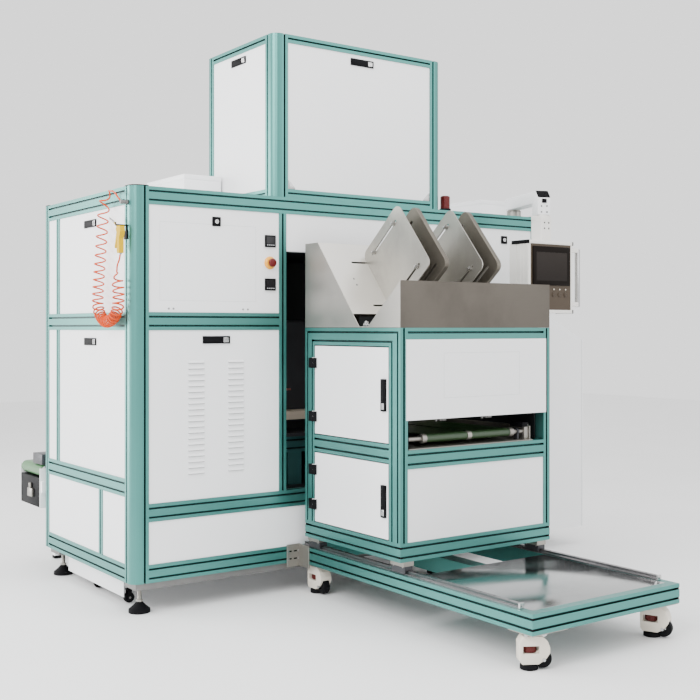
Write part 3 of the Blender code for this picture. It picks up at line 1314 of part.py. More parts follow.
def panel_head(arm):
    """The operator panel: column, ribbed case, fascia, screen and side handle."""
    w, d, h = HEAD_WIDTH / 2, HEAD_DEPTH / 2, HEAD_HEIGHT
    column = block((-COLUMN_SIZE / 2, -COLUMN_SIZE / 2, -0.012),
                   (COLUMN_SIZE / 2, COLUMN_SIZE / 2, 0.108 - GAP), 0.006, 2)
    lobe = 0.030
    side = ([(-d, 0), (-d, -h)]
            + arc((d - lobe, -h + lobe), lobe, -90, 0, 4)
            + arc((d - lobe, -lobe), lobe, 0, 90, 4))
    case = outline([side], "X", -w, w)
    ribs = [block((-w - 1, d - 0.058, -h - 1), (-w + 0.003, d - 0.050, 1)),
            block((w - 0.003, d - 0.058, -h - 1), (w + 1, d - 0.050, 1))]
    case = cut(case, ribs)
    reach = w + HANDLE_REACH
    low, high = -h + 0.048, -0.040
    y = -d + 0.020
    points = [(w - BITE, y, high), (reach - 0.012, y, high), (reach, y, high - 0.012),
              (reach, y, low + 0.012), (reach - 0.012, y, low), (w - BITE, y, low)]
    handle = tube(points, HANDLE_ROD, 2)
    head = lead(fuse([case, column, handle]), "panel_case", WHITE, arm,
                (ARM_LENGTH * cos(radians(ARM_ANGLE)), ARM_LENGTH * sin(radians(ARM_ANGLE)),
                 HEAD_TOP - MACHINE_TOP), 30)
    rim = 0.016
    fascia = block((-w + rim, -d - 0.002 - GAP, -h + rim), (w - rim, -d - GAP, -rim))
    screen_top = -0.030
    screen = block((-SCREEN_WIDTH / 2, -d - 0.002 - SCREEN_PROUD, screen_top - SCREEN_HEIGHT),
                   (SCREEN_WIDTH / 2, -d - 0.001, screen_top), 0.002, 1)
    publish(fuse([fascia, screen]), "panel_fascia", BRONZE, head)


# Air hose

def spline_points(route, per_leg):
    """Points on a smooth curve through the route's own points."""
    line = [Vector(route[0])] + [Vector(p) for p in route] + [Vector(route[-1])]
    points = []
    for a, b, c, d in zip(line, line[1:], line[2:], line[3:]):
        for step in range(per_leg):
            t = step / per_leg
            points.append(0.5 * (2 * b + (c - a) * t + (2 * a - 5 * b + 4 * c - d) * t ** 2
                                 + (3 * b - a - 3 * c + d) * t ** 3))
    points.append(line[-1])
    return points


def air_hose():
    """The coiled air hose, its blow gun on a hook and the fitting it comes from."""
    x = -COIL_STANDOFF
    coil_route = [(x, 0.138, 1.848), (x, 0.215, 1.842), (x, 0.262, 1.790), (x, 0.290, 1.640),
                  (x, 0.300, 1.470), (x, 0.285, 1.370), (x, 0.235, 1.325), (x, 0.165, 1.325),
                  (x, 0.110, 1.370), (x, 0.088, 1.450), (x, 0.085, 1.525)]
    coil = tube(spline_points(coil_route, 3), COIL_RADIUS, 2)
    publish(coil, "hose_coil", ORANGE, MACHINE, smooth=40)
    lead_route = [(x, 0.085, 1.5259), (x, 0.078, 1.552), (x, 0.050, 1.575), (x, 0.036, 1.6030)]
    publish(tube(spline_points(lead_route, 4), HOSE_RADIUS, 2), "hose_lead", ORANGE, MACHINE,
            smooth=40)
    fitting = fuse([block((-0.020, 0.110, 1.835), (-GAP, 0.134, 1.861)),
                    rod((x + 0.002, 0.1205, 1.848), (-0.018, 0.1205, 1.848), 0.009),
                    rod((x, 0.1145, 1.848), (x, 0.1345, 1.848), 0.010)])
    publish(fitting, "hose_fitting", STEEL, MACHINE)
    body = [(0.024, 1.605), (0.048, 1.605), (0.052, 1.640), (0.046, 1.680), (0.060, 1.712),
            (0.050, 1.726), (0.016, 1.724), (0.012, 1.700), (0.024, 1.670)]
    lever = [(0.048, 1.700), (0.060, 1.712), (0.086, 1.632), (0.078, 1.628), (0.052, 1.690)]
    gun = fuse([outline([body], "X", x - 0.011, x + 0.011),
                outline([lever], "X", x - 0.006, x + 0.006),
                tube([(x, 0.052, 1.716), (x, 0.100, 1.744), (x, 0.150, 1.766)], 0.004, 2)])
    publish(gun, "blow_gun", YELLOW, MACHINE)
    hook = fuse([block((-0.006, 0.046, 1.668), (-GAP, 0.074, 1.706)),
                 block((x - 0.016, 0.050, 1.7263), (-0.004, 0.056, 1.733)),
                 block((-0.006, 0.050, 1.700), (-GAP, 0.056, 1.733)),
                 block((x - 0.016, 0.050, 1.7263), (x - 0.013, 0.056, 1.742))])
    publish(hook, "gun_hook", BLACK, MACHINE)


# Assembly

publish(long_frame(0, 1, "-Y"), "front_frame", TEAL, MACHINE)
publish(long_frame(MACHINE_DEPTH, -1, "+Y"), "back_frame", TEAL, MACHINE)
publish(side_frame(0, 1, "-X"), "left_frame", TEAL, MACHINE)
publish(side_frame(MACHINE_WIDTH, -1, "+X"), "right_frame", TEAL, MACHINE)
build_housing()
front_doors()
side_doors()
roof()
infeed_chamber()
infeed_table()
foot_frame()
end_cover()
beacon()
upper_box()
outfeed_conveyor()
rails = rail_base()
castor(rails, "castor_front_left", CASTOR_INSET, CASTOR_INSET, 0)
castor(rails, "castor_front_right", BASE_WIDTH - CASTOR_INSET, CASTOR_INSET, 0)
castor(rails, "castor_back_left", CASTOR_INSET, BASE_LENGTH - CASTOR_INSET - 0.020, -90)
castor(rails, "castor_back_right", BASE_WIDTH - CASTOR_INSET,
       BASE_LENGTH - CASTOR_INSET - 0.020, -90)
carriage = loader_frame()
loader_doors(carriage)
loader_panels(carriage)
bearings(carriage)
trough(carriage)
guide_plates(carriage)
delivery(carriage)
panel_head(panel_arm())
air_hose()
bpy.context.view_layer.update()
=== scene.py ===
"""Finishes, fittings and light for the vacuum packing machine.

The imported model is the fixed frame. Lengths are metres. Fittings are placed from the main
machine's front left corner on the floor, which `at` turns into the frame of the model.
"""

import logging
import math
from dataclasses import dataclass
from enum import Enum
from typing import Any, Iterable

import bmesh
import bpy
from mathutils import Matrix, Vector


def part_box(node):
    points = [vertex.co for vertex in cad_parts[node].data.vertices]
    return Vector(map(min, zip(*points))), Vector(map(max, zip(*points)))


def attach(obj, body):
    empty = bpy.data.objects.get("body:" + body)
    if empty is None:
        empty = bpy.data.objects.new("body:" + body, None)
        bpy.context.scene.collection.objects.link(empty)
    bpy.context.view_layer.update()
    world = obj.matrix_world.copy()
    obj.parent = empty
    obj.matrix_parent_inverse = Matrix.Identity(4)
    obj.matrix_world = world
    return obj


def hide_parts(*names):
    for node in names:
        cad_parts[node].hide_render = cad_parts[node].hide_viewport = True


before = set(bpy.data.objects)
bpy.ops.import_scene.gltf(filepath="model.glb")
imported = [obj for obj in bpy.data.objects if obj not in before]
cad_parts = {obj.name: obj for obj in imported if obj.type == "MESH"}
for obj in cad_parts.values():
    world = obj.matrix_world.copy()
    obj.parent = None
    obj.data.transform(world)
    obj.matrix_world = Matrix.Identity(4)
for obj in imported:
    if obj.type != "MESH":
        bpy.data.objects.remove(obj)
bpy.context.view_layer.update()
LOG = logging.getLogger("vacuum_packer")
Point = tuple[float, float, float]
Pair = tuple[float, float]
CORNER = Vector((-0.075, -0.09, 0.0))
LOADER_CORNER = (0.8515, -0.8176, 0.2813)
SUNK = -0.001
MERGE = 1e-6
SMOOTH_UNDER = 35.0


def at(x: float, y: float, z: float) -> Vector:
    """A place measured from the machine's front left corner."""
    return Vector((x, y, z)) + CORNER


def put(x: float, y: float, z: float) -> Matrix:
    """The move to a place measured from the machine's front left corner."""
    return Matrix.Translation(at(x, y, z))


def turned(axis: str, degrees: float = 90.0) -> Matrix:
    """A turn about an axis."""
    return Matrix.Rotation(math.radians(degrees), 4, axis)


def rows(low: float, high: float, count: int) -> list[float]:
    """Evenly spaced places from low to high."""
    return [low + (high - low) * step / (count - 1) for step in range(count)]


def mirrored(half: list[Pair], middle: tuple[Pair, ...] = ()) -> list[Pair]:
    """A lathe profile that is the same below its middle as above it."""
    return [*half, *middle, *((radius, -height) for radius, height in reversed(half))]


class Face(Enum):
    """Which way a fitting looks: along its width, up its height, and outwards."""

    FRONT = ((1, 0, 0), (0, 0, 1), (0, -1, 0))
    BACK = ((-1, 0, 0), (0, 0, 1), (0, 1, 0))
    LEFT = ((0, -1, 0), (0, 0, 1), (-1, 0, 0))
    RIGHT = ((0, 1, 0), (0, 0, 1), (1, 0, 0))
    TOP = ((1, 0, 0), (0, 1, 0), (0, 0, 1))

    def placed(self, centre: Vector) -> Matrix:
        """Matrix from the fitting's own axes to its place.

        Args:
            centre: where the fitting's origin goes.
        Returns:
            The matrix for the fitting's mesh.
        """
        turn = Matrix([list(axis) for axis in self.value]).transposed()
        return Matrix.Translation(centre) @ turn.to_4x4()


# Shader graphs


class Socket:
    """One output of a shader node, which takes part in Python arithmetic."""

    def __init__(self, graph: "Graph", out: bpy.types.NodeSocket) -> None:
        self.graph = graph
        self.out = out

    def maths(self, operation: str, *terms: "Socket | float") -> "Socket":
        """Add a Math node.

        Args:
            operation: the node's operation.
            terms: its inputs in order.
        Returns:
            The node's result.
        """
        return self.graph.node("ShaderNodeMath", {"operation": operation}, dict(enumerate(terms)))

    def __add__(self, other: "Socket | float") -> "Socket":
        """Sum."""
        return self.maths("ADD", self, other)

    def __radd__(self, other: float) -> "Socket":
        """Sum with a number on the left."""
        return self.maths("ADD", other, self)

    def __sub__(self, other: "Socket | float") -> "Socket":
        """Difference."""
        return self.maths("SUBTRACT", self, other)

    def __rsub__(self, other: float) -> "Socket":
        """Difference with a number on the left."""
        return self.maths("SUBTRACT", other, self)

    def __mul__(self, other: "Socket | float") -> "Socket":
        """Product."""
        return self.maths("MULTIPLY", self, other)

    def __rmul__(self, other: float) -> "Socket":
        """Product with a number on the left."""
        return self.maths("MULTIPLY", other, self)

    def ramp(self, low: float, high: float) -> "Socket":
        """Zero below low, one above high and smooth between."""
        return self.graph.node("ShaderNodeMapRange", {"interpolation_type": "SMOOTHSTEP"},
                               {"Value": self, "From Min": low, "From Max": high})


Colour = tuple[float, float, float]


class Graph:
    """The node tree of one material."""

    def __init__(self, name: str) -> None:
        self.material = bpy.data.materials.new(name)
        self.material.use_nodes = True
        self.tree = self.material.node_tree
        self.shader = self.tree.nodes["Principled BSDF"]

    def node(self, kind: str, settings: dict[str, Any], values: dict[Any, Any],
             out: int | str = 0) -> Socket:
        """Add a node.

        Args:
            kind: the node's type.
            settings: its properties, set first.
            values: numbers or sockets for its inputs, by name or place.
            out: which output to hand back.
        Returns:
            That output.
        """
        made = self.tree.nodes.new(kind)
        for name, value in settings.items():
            setattr(made, name, value)
        for name, value in values.items():
            self.feed(made.inputs[name], value)
        return Socket(self, made.outputs[out])

    def feed(self, into: bpy.types.NodeSocket, value: Any) -> None:
        """Link a socket, or set its number or colour.

        Args:
            into: the socket to fill.
            value: a socket, a number or a colour.
        """
        if isinstance(value, Socket):
            self.tree.links.new(value.out, into)
        elif isinstance(value, tuple) and len(value) == 3 and into.type == "RGBA":
            into.default_value = (*value, 1.0)
        else:
            into.default_value = value

    def set(self, **values: Any) -> None:
        """Feed the Principled shader's sockets, named with underscores for spaces."""
        for name, value in values.items():
            self.feed(self.shader.inputs[name.replace("_", " ")], value)

    def place(self, stretch: Point = (1.0, 1.0, 1.0)) -> Socket:
        """Object coordinates, stretched."""
        here = self.node("ShaderNodeTexCoord", {}, {}, "Object")
        return self.node("ShaderNodeMapping", {}, {"Vector": here, "Scale": stretch})

    def noise(self, scale: float, detail: float = 3.0, stretch: Point = (1.0, 1.0, 1.0),
              rough: float = 0.5) -> Socket:
        """Noise over the surface, from 0 to 1."""
        return self.node("ShaderNodeTexNoise", {}, {"Vector": self.place(stretch), "Scale": scale,
                                                    "Detail": detail, "Roughness": rough})

    def mix(self, factor: "Socket | float", low: Any, high: Any) -> Socket:
        """Blend two colours.

        Args:
            factor: how much of the second shows.
            low: the first colour.
            high: the second colour.
        Returns:
            The blend.
        """
        made = self.tree.nodes.new("ShaderNodeMix")
        made.data_type = "RGBA"
        self.feed(made.inputs[0], factor)
        self.feed(made.inputs[6], low)
        self.feed(made.inputs[7], high)
        return Socket(self, made.outputs[2])

    def bump(self, height: Socket, strength: float, depth: float) -> None:
        """Feed the shader's normal from a height."""
        self.set(Normal=self.node("ShaderNodeBump", {}, {"Strength": strength,
                                                         "Distance": depth, "Height": height}))

    def shelter(self, reach: float) -> Socket:
        """How sheltered a place is by the piece's own shape.

        Args:
            reach: how far away a face still shelters it.
        Returns:
            One inside grooves, zero on open faces.
        """
        open_sky = self.node("ShaderNodeAmbientOcclusion", {"samples": 6, "only_local": True},
                             {"Distance": reach}, "AO")
        return 1.0 - open_sky


def shade(colour: Colour, by: float) -> Colour:
    """A colour made lighter or darker by a factor."""
    return tuple(min(1.0, channel * by) for channel in colour)


@dataclass(frozen=True)
class Finish:
    """A smooth coating with a faint, slow change of tone."""

    name: str
    slot: str
    colour: Colour
    roughness: float = 0.45
    metallic: float = 0.0
    coat: float = 0.0
    sheen: float = 0.5

    def material(self) -> bpy.types.Material:
        """The finish's material, made once."""
        name = "finish_" + self.name
        if name in bpy.data.materials:
            return bpy.data.materials[name]
        graph = Graph(name)
        graph.set(Metallic=self.metallic, Coat_Weight=self.coat, Specular_IOR_Level=self.sheen)
        self.dress(graph)
        return graph.material

    def dress(self, graph: Graph) -> None:
        """Tone and gloss that drift a little, as on moulded plastic.

        Args:
            graph: the material's nodes.
        """
        drift = graph.noise(9.0, 3.0)
        graph.set(Base_Color=graph.mix(drift, shade(self.colour, 0.92), shade(self.colour, 1.05)),
                  Roughness=drift * 0.1 + (self.roughness - 0.05))
        graph.bump(graph.noise(900.0, 2.0), 0.08, 0.0004)


@dataclass(frozen=True)
class Anodised(Finish):
    """Anodised extrusion: satin metal with painted shade inside its grooves."""

    # colour of the painted shade inside the grooves
    groove: Colour = (0.004, 0.016, 0.016)

    def dress(self, graph: Graph) -> None:
        """Fine drawn lines, slow tone drift and painted shade in the grooves.

        Args:
            graph: the material's nodes.
        """
        tone = graph.mix(graph.noise(3.0, 4.0), shade(self.colour, 0.93), shade(self.colour, 1.06))
        lines = graph.noise(38.0, 3.0, (1.0, 1.0, 18.0))
        tone = graph.mix(lines * 0.35, tone, shade(self.colour, 0.8))
        # painted shade: the grooves turn dark where the piece shelters itself
        inside = graph.shelter(0.03).ramp(0.3, 0.52)
        graph.set(Base_Color=graph.mix(inside, tone, self.groove),
                  Roughness=lines * 0.12 + (self.roughness - 0.06))
        graph.bump(lines, 0.04, 0.0003)


@dataclass(frozen=True)
class Painted(Finish):
    """Powder-coated sheet: fine orange peel and patchy painted shade where it is sheltered."""

    # grey of the painted shade in sheltered places
    shelter_shade: Colour = (0.52, 0.52, 0.5)

    def dress(self, graph: Graph) -> None:
        """Peel, broad tone drift and patchy painted shade in sheltered places.

        Args:
            graph: the material's nodes.
        """
        drift = graph.noise(1.6, 5.0)
        tone = graph.mix(drift, shade(self.colour, 0.97), shade(self.colour, 1.02))
        # painted shade: grey where the piece shelters itself, broken up by noise
        shelter_shade_mask = graph.shelter(0.02).ramp(0.25, 0.85) * graph.noise(14.0, 4.0)
        graph.set(Base_Color=graph.mix(shelter_shade_mask * 0.35, tone, self.shelter_shade),
                  Roughness=graph.noise(30.0, 2.0) * 0.08 + (self.roughness - 0.04))
        graph.bump(graph.noise(420.0, 2.0), 0.05, 0.0004)


@dataclass(frozen=True)
class Brushed(Finish):
    """Brushed stainless steel: drawn grain, smears and handling marks."""

    grain: Point = (1.0, 60.0, 60.0)
    smear: float = 0.5

    def dress(self, graph: Graph) -> None:
        """Grain in the colour, gloss and normal, with cloudy smears over it.

        Args:
            graph: the material's nodes.
        """
        lines = graph.noise(14.0, 5.0, self.grain, 0.7)
        cloud = graph.noise(3.2, 6.0, (1.0, 1.4, 0.8), 0.62).ramp(0.38, 0.68)
        tone = graph.mix(lines, shade(self.colour, 0.86), shade(self.colour, 1.08))
        tone = graph.mix(cloud * self.smear, tone, shade(self.colour, 0.74))
        graph.set(Base_Color=tone, Roughness=lines * 0.16 + cloud * 0.1 + (self.roughness - 0.1))
        graph.bump(lines, 0.1, 0.0002)


@dataclass(frozen=True)
class Glaring(Brushed):
    """Brushed sheet with a pale glare on its faces that look up or to the left."""

    glare: Colour = (0.66, 0.64, 0.6)

    def dress(self, graph: Graph) -> None:
        """The brushed tone, paler by the way that a face looks.

        Args:
            graph: the material's nodes.
        """
        Brushed.dress(self, graph)
        tone = Socket(graph, graph.shader.inputs["Base Color"].links[0].from_socket)
        way = graph.node("ShaderNodeNewGeometry", {}, {}, "True Normal")
        up = graph.node("ShaderNodeSeparateXYZ", {}, {0: way}, "Z").ramp(0.15, 0.45)
        left = (graph.node("ShaderNodeSeparateXYZ", {}, {0: way}, "X") * -1.0).ramp(0.6, 0.9)
        graph.set(Base_Color=graph.mix(up + left * 0.45, tone, self.glare))


@dataclass(frozen=True)
class Belting(Finish):
    """Coated conveyor belting: a glossy skin with a fine cast texture and scuffs."""

    def dress(self, graph: Graph) -> None:
        """Fine cross-hatched skin with duller scuffs.

        Args:
            graph: the material's nodes.
        """
        weave = graph.noise(520.0, 1.0)
        scuff = graph.noise(20.0, 5.0, (0.4, 2.0, 1.0)).ramp(0.52, 0.75)
        graph.set(Base_Color=graph.mix(scuff * 0.5, self.colour, shade(self.colour, 1.7)),
                  Roughness=scuff * 0.25 + self.roughness)
        graph.bump(weave, 0.12, 0.0004)


@dataclass(frozen=True)
class ReflectingGlass(Finish):
    """A dark display behind glass, with a painted reflection that makes the glass lighter towards
    the top.
    """

    top: float = 0.0
    depth: float = 1.0

    def dress(self, graph: Graph) -> None:
        """A painted reflection: a slow gradient up the glass.

        Args:
            graph: the material's nodes.
        """
        parts = graph.node("ShaderNodeSeparateXYZ", {}, {0: graph.place()}, "Z")
        # painted reflection: the glass grows lighter towards the top
        rise = parts.ramp(self.top - self.depth, self.top)
        graph.set(Base_Color=graph.mix(rise, shade(self.colour, 0.75), shade(self.colour, 1.15)),
                  Roughness=graph.noise(40.0, 2.0) * 0.05 + self.roughness)


TEAL = Anodised("teal_anodised", "anodised_profile", (0.078, 0.262, 0.238), 0.36, 0.8)
CHAMBER_TEAL = Anodised("teal_in_shadow", "anodised_profile", (0.05, 0.15, 0.15), 0.45, 0.6)
WHITE = Painted("white_powder_coat", "white_panel", (0.87, 0.875, 0.885), 0.42)
CREAM = Painted("cream_extrusion", "white_panel", (0.78, 0.76, 0.72), 0.38)
STEEL = Brushed("brushed_steel", "stainless", (0.33, 0.315, 0.285), 0.36, 0.85)
DULL_STEEL = Brushed("sill_steel", "stainless", (0.2, 0.195, 0.19), 0.45, 0.7)
RAIL_STEEL = Brushed("ground_rail_steel", "stainless", (0.2, 0.19, 0.195), 0.28, 0.95,
                     grain=(60.0, 1.0, 60.0), smear=0.15)
MIRROR = Brushed("polished_deck", "stainless", (0.4, 0.41, 0.41), 0.16, 1.0, smear=0.25)
BRIGHT = Brushed("bright_zinc", "stainless", (0.52, 0.52, 0.52), 0.24, 1.0, smear=0.2)
# near black painted shade: inside the infeed chamber, in the throat under the trough and beside
# the delivery belts
SHADE_BLACK = Finish("dark_lining", "dark_metal", (0.008, 0.009, 0.01), 0.6, sheen=0.2)
GUNMETAL = Brushed("gunmetal_plate", "dark_metal", (0.055, 0.056, 0.062), 0.42, 0.6)
BLACK = Finish("black_moulding", "black_plastic", (0.005, 0.005, 0.006), 0.46, sheen=0.06)
GLASS_BLACK = Finish("black_glass", "black_plastic", (0.004, 0.004, 0.006), 0.14, sheen=0.35)
RUBBER = Finish("black_rubber", "black_plastic", (0.005, 0.005, 0.006), 0.62, sheen=0.08)
GREEN = Belting("dark_green_belting", "green_belt", (0.014, 0.04, 0.01), 0.3)
BRIGHT_GREEN = Belting("green_belting", "green_belt", (0.055, 0.16, 0.06), 0.34)
IVORY = Finish("ivory_casting", "ivory_plastic", (0.74, 0.68, 0.58), 0.4)
RED = Finish("red_moulding", "red_plastic", (0.105, 0.003, 0.003), 0.26, 0.0, 0.05, sheen=0.3)
DIAL = Finish("maroon_dial", "red_plastic", (0.085, 0.01, 0.008), 0.45, sheen=0.25)
AMBER = Finish("yellow_collar", "yellow_plastic", (0.8, 0.34, 0.01), 0.32, 0.0, 0.1)
YELLOW = Finish("yellow_gun_body", "yellow_plastic", (0.56, 0.35, 0.000), 0.38, sheen=0.05)
ORANGE = Finish("orange_polyurethane", "orange_hose", (0.6, 0.058, 0.002), 0.34, sheen=0.2)
BRONZE = Brushed("bronze_fascia", "bronze_fascia", (0.06, 0.043, 0.028), 0.42, 0.2,
                 sheen=0.3, smear=0.2)
# display glass: dark, with a painted reflection lighter towards its top
SCREEN = ReflectingGlass("display_glass", "black_plastic", (0.02, 0.016, 0.014), 0.2, 0.0, 0.0, 0.08,
              top=1.706, depth=0.19)
BEZEL = Finish("display_bezel", "black_plastic", (0.006, 0.004, 0.003), 0.4, sheen=0.06)
PEARL = Finish("lamp_lens", "white_panel", (0.6, 0.55, 0.46), 0.2, 0.0, 0.6)
BROWN = Finish("button_cap", "bronze_fascia", (0.05, 0.034, 0.021), 0.3, sheen=0.3)
LINE = Finish("grey_ink", "black_plastic", (0.46, 0.47, 0.48), 0.5)
CREAM_BOARD = Finish("cream_board", "ivory_plastic", (0.62, 0.53, 0.42), 0.5)
PINK = Finish("pink_air_line", "orange_hose", (0.46, 0.17, 0.15), 0.3)


# Meshes


@dataclass(frozen=True)
class Groove:
    """The groove of the slotted profile."""

    width: float = 0.009
    depth: float = 0.012
    edge: float = 0.02
    lip: float = 0.0007

    def side(self, start: Vector, end: Vector, slotted: bool) -> list[Pair]:
        """Points along one side of a bar's section.

        Args:
            start: the side's first corner.
            end: its other corner, left out of the points.
            slotted: whether the side has grooves.
        Returns:
            The points in the plane of the section.
        """
        run, half = (end - start).length, self.width / 2
        ahead = (end - start).normalized()
        inward = Vector((-ahead.y, ahead.x))
        paired = run > 2 * self.edge + self.width
        places = ((self.edge, run - self.edge) if paired else (run / 2,)) if slotted else ()
        steps = ((-half - self.lip, 0), (-half, self.lip), (-half, self.depth),
                 (half, self.depth), (half, self.lip), (half + self.lip, 0))
        points = [start] + [start + ahead * (place + along) + inward * deep
                            for place in places for along, deep in steps]
        return [tuple(point) for point in points]


class Shape:
    """A mesh in the making, drawn in a fitting's own axes."""

    def __init__(self, place: Matrix | None = None) -> None:
        self.mesh = bmesh.new()
        self.place = place or Matrix.Translation(CORNER)

    def _settle(self, verts: list, local: Matrix | None) -> None:
        """Turn fresh vertices by a matrix of their own."""
        if local is not None:
            bmesh.ops.transform(self.mesh, matrix=local, verts=verts)

    def _round(self, edges: list, radius: float, segments: int = 2) -> set:
        """Round some edges and hand back the vertices that this made."""
        return set(bmesh.ops.bevel(self.mesh, geom=edges, offset=radius, affect="EDGES",
                                   segments=segments, profile=0.5, material=-1)["verts"])

    def box(self, low: Point, high: Point, radius: float = 0.0, segments: int = 2,
            local: Matrix | None = None) -> "Shape":
        """Add a box between two corners.

        Args:
            low: its lowest corner.
            high: its highest corner.
            radius: the rounding of its edges.
            segments: how many facets the rounding has.
            local: a turn of its own.
        Returns:
            This shape.
        """
        size = Vector(high) - Vector(low)
        verts = bmesh.ops.create_cube(self.mesh, size=1.0)["verts"]
        bmesh.ops.scale(self.mesh, vec=size, verts=verts)
        bmesh.ops.translate(self.mesh, vec=(Vector(high) + Vector(low)) / 2, verts=verts)
        if radius:
            edges = list({edge for vert in verts for edge in vert.link_edges})
            made = self._round(edges, radius, segments)
            verts = [vert for vert in self.mesh.verts if vert in made]
        self._settle(verts, local)
        return self

    def rod(self, start: Point, end: Point, radius: float, sides: int = 24,
            rim: float = 0.0) -> "Shape":
        """Add a round bar.

        Args:
            start: the centre of its first end.
            end: the centre of its other end.
            radius: its radius.
            sides: how many sides it has.
            rim: the rounding of its end edges.
        Returns:
            This shape.
        """
        start, end = Vector(start), Vector(end)
        verts = bmesh.ops.create_cone(self.mesh, cap_ends=True, segments=sides, radius1=radius,
                                      radius2=radius, depth=(end - start).length)["verts"]
        if rim:
            ends = [edge for vert in verts for edge in vert.link_edges
                    if abs(edge.verts[0].co.z - edge.verts[1].co.z) < MERGE / 10]
            made = self._round(list(set(ends)), rim)
            verts = list({vert for vert in verts if vert.is_valid} | made)
        turn = (end - start).to_track_quat("Z", "Y").to_matrix().to_4x4()
        bmesh.ops.transform(self.mesh, matrix=Matrix.Translation((start + end) / 2) @ turn,
                            verts=verts)
        return self

    def lathe(self, profile: Iterable[Pair], centre: Point = (0, 0, 0),
              steps: int = 32, local: Matrix | None = None) -> "Shape":
        """Spin a profile about Z.

        Args:
            profile: radius and height pairs from one end to the other.
            centre: where the profile's origin goes.
            steps: how many steps the turn has.
            local: a turn of its own, made after the spin.
        Returns:
            This shape.
        """
        verts = [self.mesh.verts.new((radius, 0.0, height)) for radius, height in profile]
        edges = [self.mesh.edges.new(pair) for pair in zip(verts, verts[1:])]
        before = set(self.mesh.verts) - set(verts)
        bmesh.ops.spin(self.mesh, geom=verts + edges, cent=(0, 0, 0), axis=(0, 0, 1),
                       dvec=(0, 0, 0), angle=math.tau, steps=steps, use_merge=True,
                       use_duplicate=False)
        fresh = [vert for vert in self.mesh.verts if vert not in before]
        bmesh.ops.remove_doubles(self.mesh, verts=fresh, dist=MERGE)
        fresh = [vert for vert in self.mesh.verts if vert not in before]
        faces = list({loop.face for vert in fresh for loop in vert.link_loops})
        bmesh.ops.recalc_face_normals(self.mesh, faces=faces)
        bmesh.ops.translate(self.mesh, vec=Vector(centre), verts=fresh)
        self._settle(fresh, local)
        return self

    def prism(self, points: Iterable[Pair], low: float, high: float,
              radius: float = 0.0, local: Matrix | None = None) -> "Shape":
        """Extrude a flat outline drawn in X and Y from one height to another.

        Args:
            points: the outline.
            low: its lower height.
            high: its upper height.
            radius: the rounding of its edges.
            local: a turn of its own.
        Returns:
            This shape.
        """
        verts = [self.mesh.verts.new((x, y, low)) for x, y in points]
        floor = self.mesh.faces.new(verts)
        grown = bmesh.ops.extrude_face_region(self.mesh, geom=[floor])["geom"]
        risen = [item for item in grown if isinstance(item, bmesh.types.BMVert)]
        bmesh.ops.translate(self.mesh, vec=(0, 0, high - low), verts=risen)
        verts += risen
        faces = list({face for vert in verts for face in vert.link_faces})
        bmesh.ops.recalc_face_normals(self.mesh, faces=faces)
        if radius:
            edges = list({edge for face in faces for edge in face.edges})
            made = self._round(edges, radius)
            verts = list({vert for vert in verts if vert.is_valid} | made)
        self._settle(verts, local)
        return self

    def bar(self, low: Point, high: Point, axis: str, faces: tuple[str, ...] = (),
            cuts: tuple[tuple[Point, Point], ...] = ()) -> "Shape":
        """Add a bar of slotted profile, its ends trimmed by planes.

        Args:
            low: its lowest corner.
            high: its highest corner.
            axis: the way it runs, such as X.
            faces: the faces that have grooves, such as -Y.
            cuts: a point and an outward direction for each trimming plane.
        Returns:
            This shape.
        """
        along = "XYZ".index(axis)
        first, second = (along + 1) % 3, (along + 2) % 3
        names = ("-" + "XYZ"[second], "+" + "XYZ"[first], "+" + "XYZ"[second],
                 "-" + "XYZ"[first])
        corners = [Vector((low[first], low[second])), Vector((high[first], low[second])),
                   Vector((high[first], high[second])), Vector((low[first], high[second]))]
        outline = []
        for start, end, name in zip(corners, corners[1:] + corners[:1], names):
            outline += Groove().side(start, end, name in faces)
        turn = Matrix([[float(row == column) for column in (first, second, along)]
                       for row in range(3)]).to_4x4()
        before = set(self.mesh.verts)
        self.prism(outline, low[along], high[along], local=turn)
        for point, outward in cuts:
            fresh = [vert for vert in self.mesh.verts if vert not in before]
            parts = fresh + list({edge for vert in fresh for edge in vert.link_edges})
            parts += list({face for vert in fresh for face in vert.link_faces})
            made = bmesh.ops.bisect_plane(self.mesh, geom=parts, dist=MERGE, plane_co=point,
                                          plane_no=outward, clear_outer=True)
            rim = [item for item in made["geom_cut"] if isinstance(item, bmesh.types.BMEdge)]
            bmesh.ops.holes_fill(self.mesh, edges=rim)
        return self

    def ring(self, wide: float, deep: float, low: float, high: float,
             thick: float) -> "Shape":
        """Add four slotted bars, mitred in plan so that their grooves turn the corners.

        Args:
            wide: the ring's size along X.
            deep: its size along Y.
            low: its lower height.
            high: its upper height.
            thick: how thick the bars are in plan.
        Returns:
            This shape.
        """
        corners = ((0, 0, 0), (wide, 0, 0), (wide, deep, 0), (0, deep, 0))
        left_front, right_front, right_back, left_back = corners
        self.bar((0, 0, low), (wide, thick, high), "X", ("-Y",),
                 ((left_front, (-1, 1, 0)), (right_front, (1, 1, 0))))
        self.bar((0, deep - thick, low), (wide, deep, high), "X", ("+Y",),
                 ((left_back, (-1, -1, 0)), (right_back, (1, -1, 0))))
        self.bar((0, 0, low), (thick, deep, high), "Y", ("-X",),
                 ((left_front, (1, -1, 0)), (left_back, (1, 1, 0))))
        return self.bar((wide - thick, 0, low), (wide, deep, high), "Y", ("+X",),
                        ((right_front, (-1, -1, 0)), (right_back, (-1, 1, 0))))

    def shaded_groove_corners(self, wide: float, deep: float, low: float, high: float) -> "Shape":
        """Add black fillers that close the corners where the grooves meet; their black is painted
        shade.

        Args:
            wide: the ring's size along X.
            deep: its size along Y.
            low: its lower height.
            high: its upper height.
        Returns:
            This shape.
        """
        sunk, thick, lid = 0.0016, 0.012, 0.004
        for x in (sunk, wide - sunk - thick):
            for y in (sunk, deep - sunk - thick):
                self.box((x, y, low + lid), (x + thick, y + thick, high - lid))
        return self

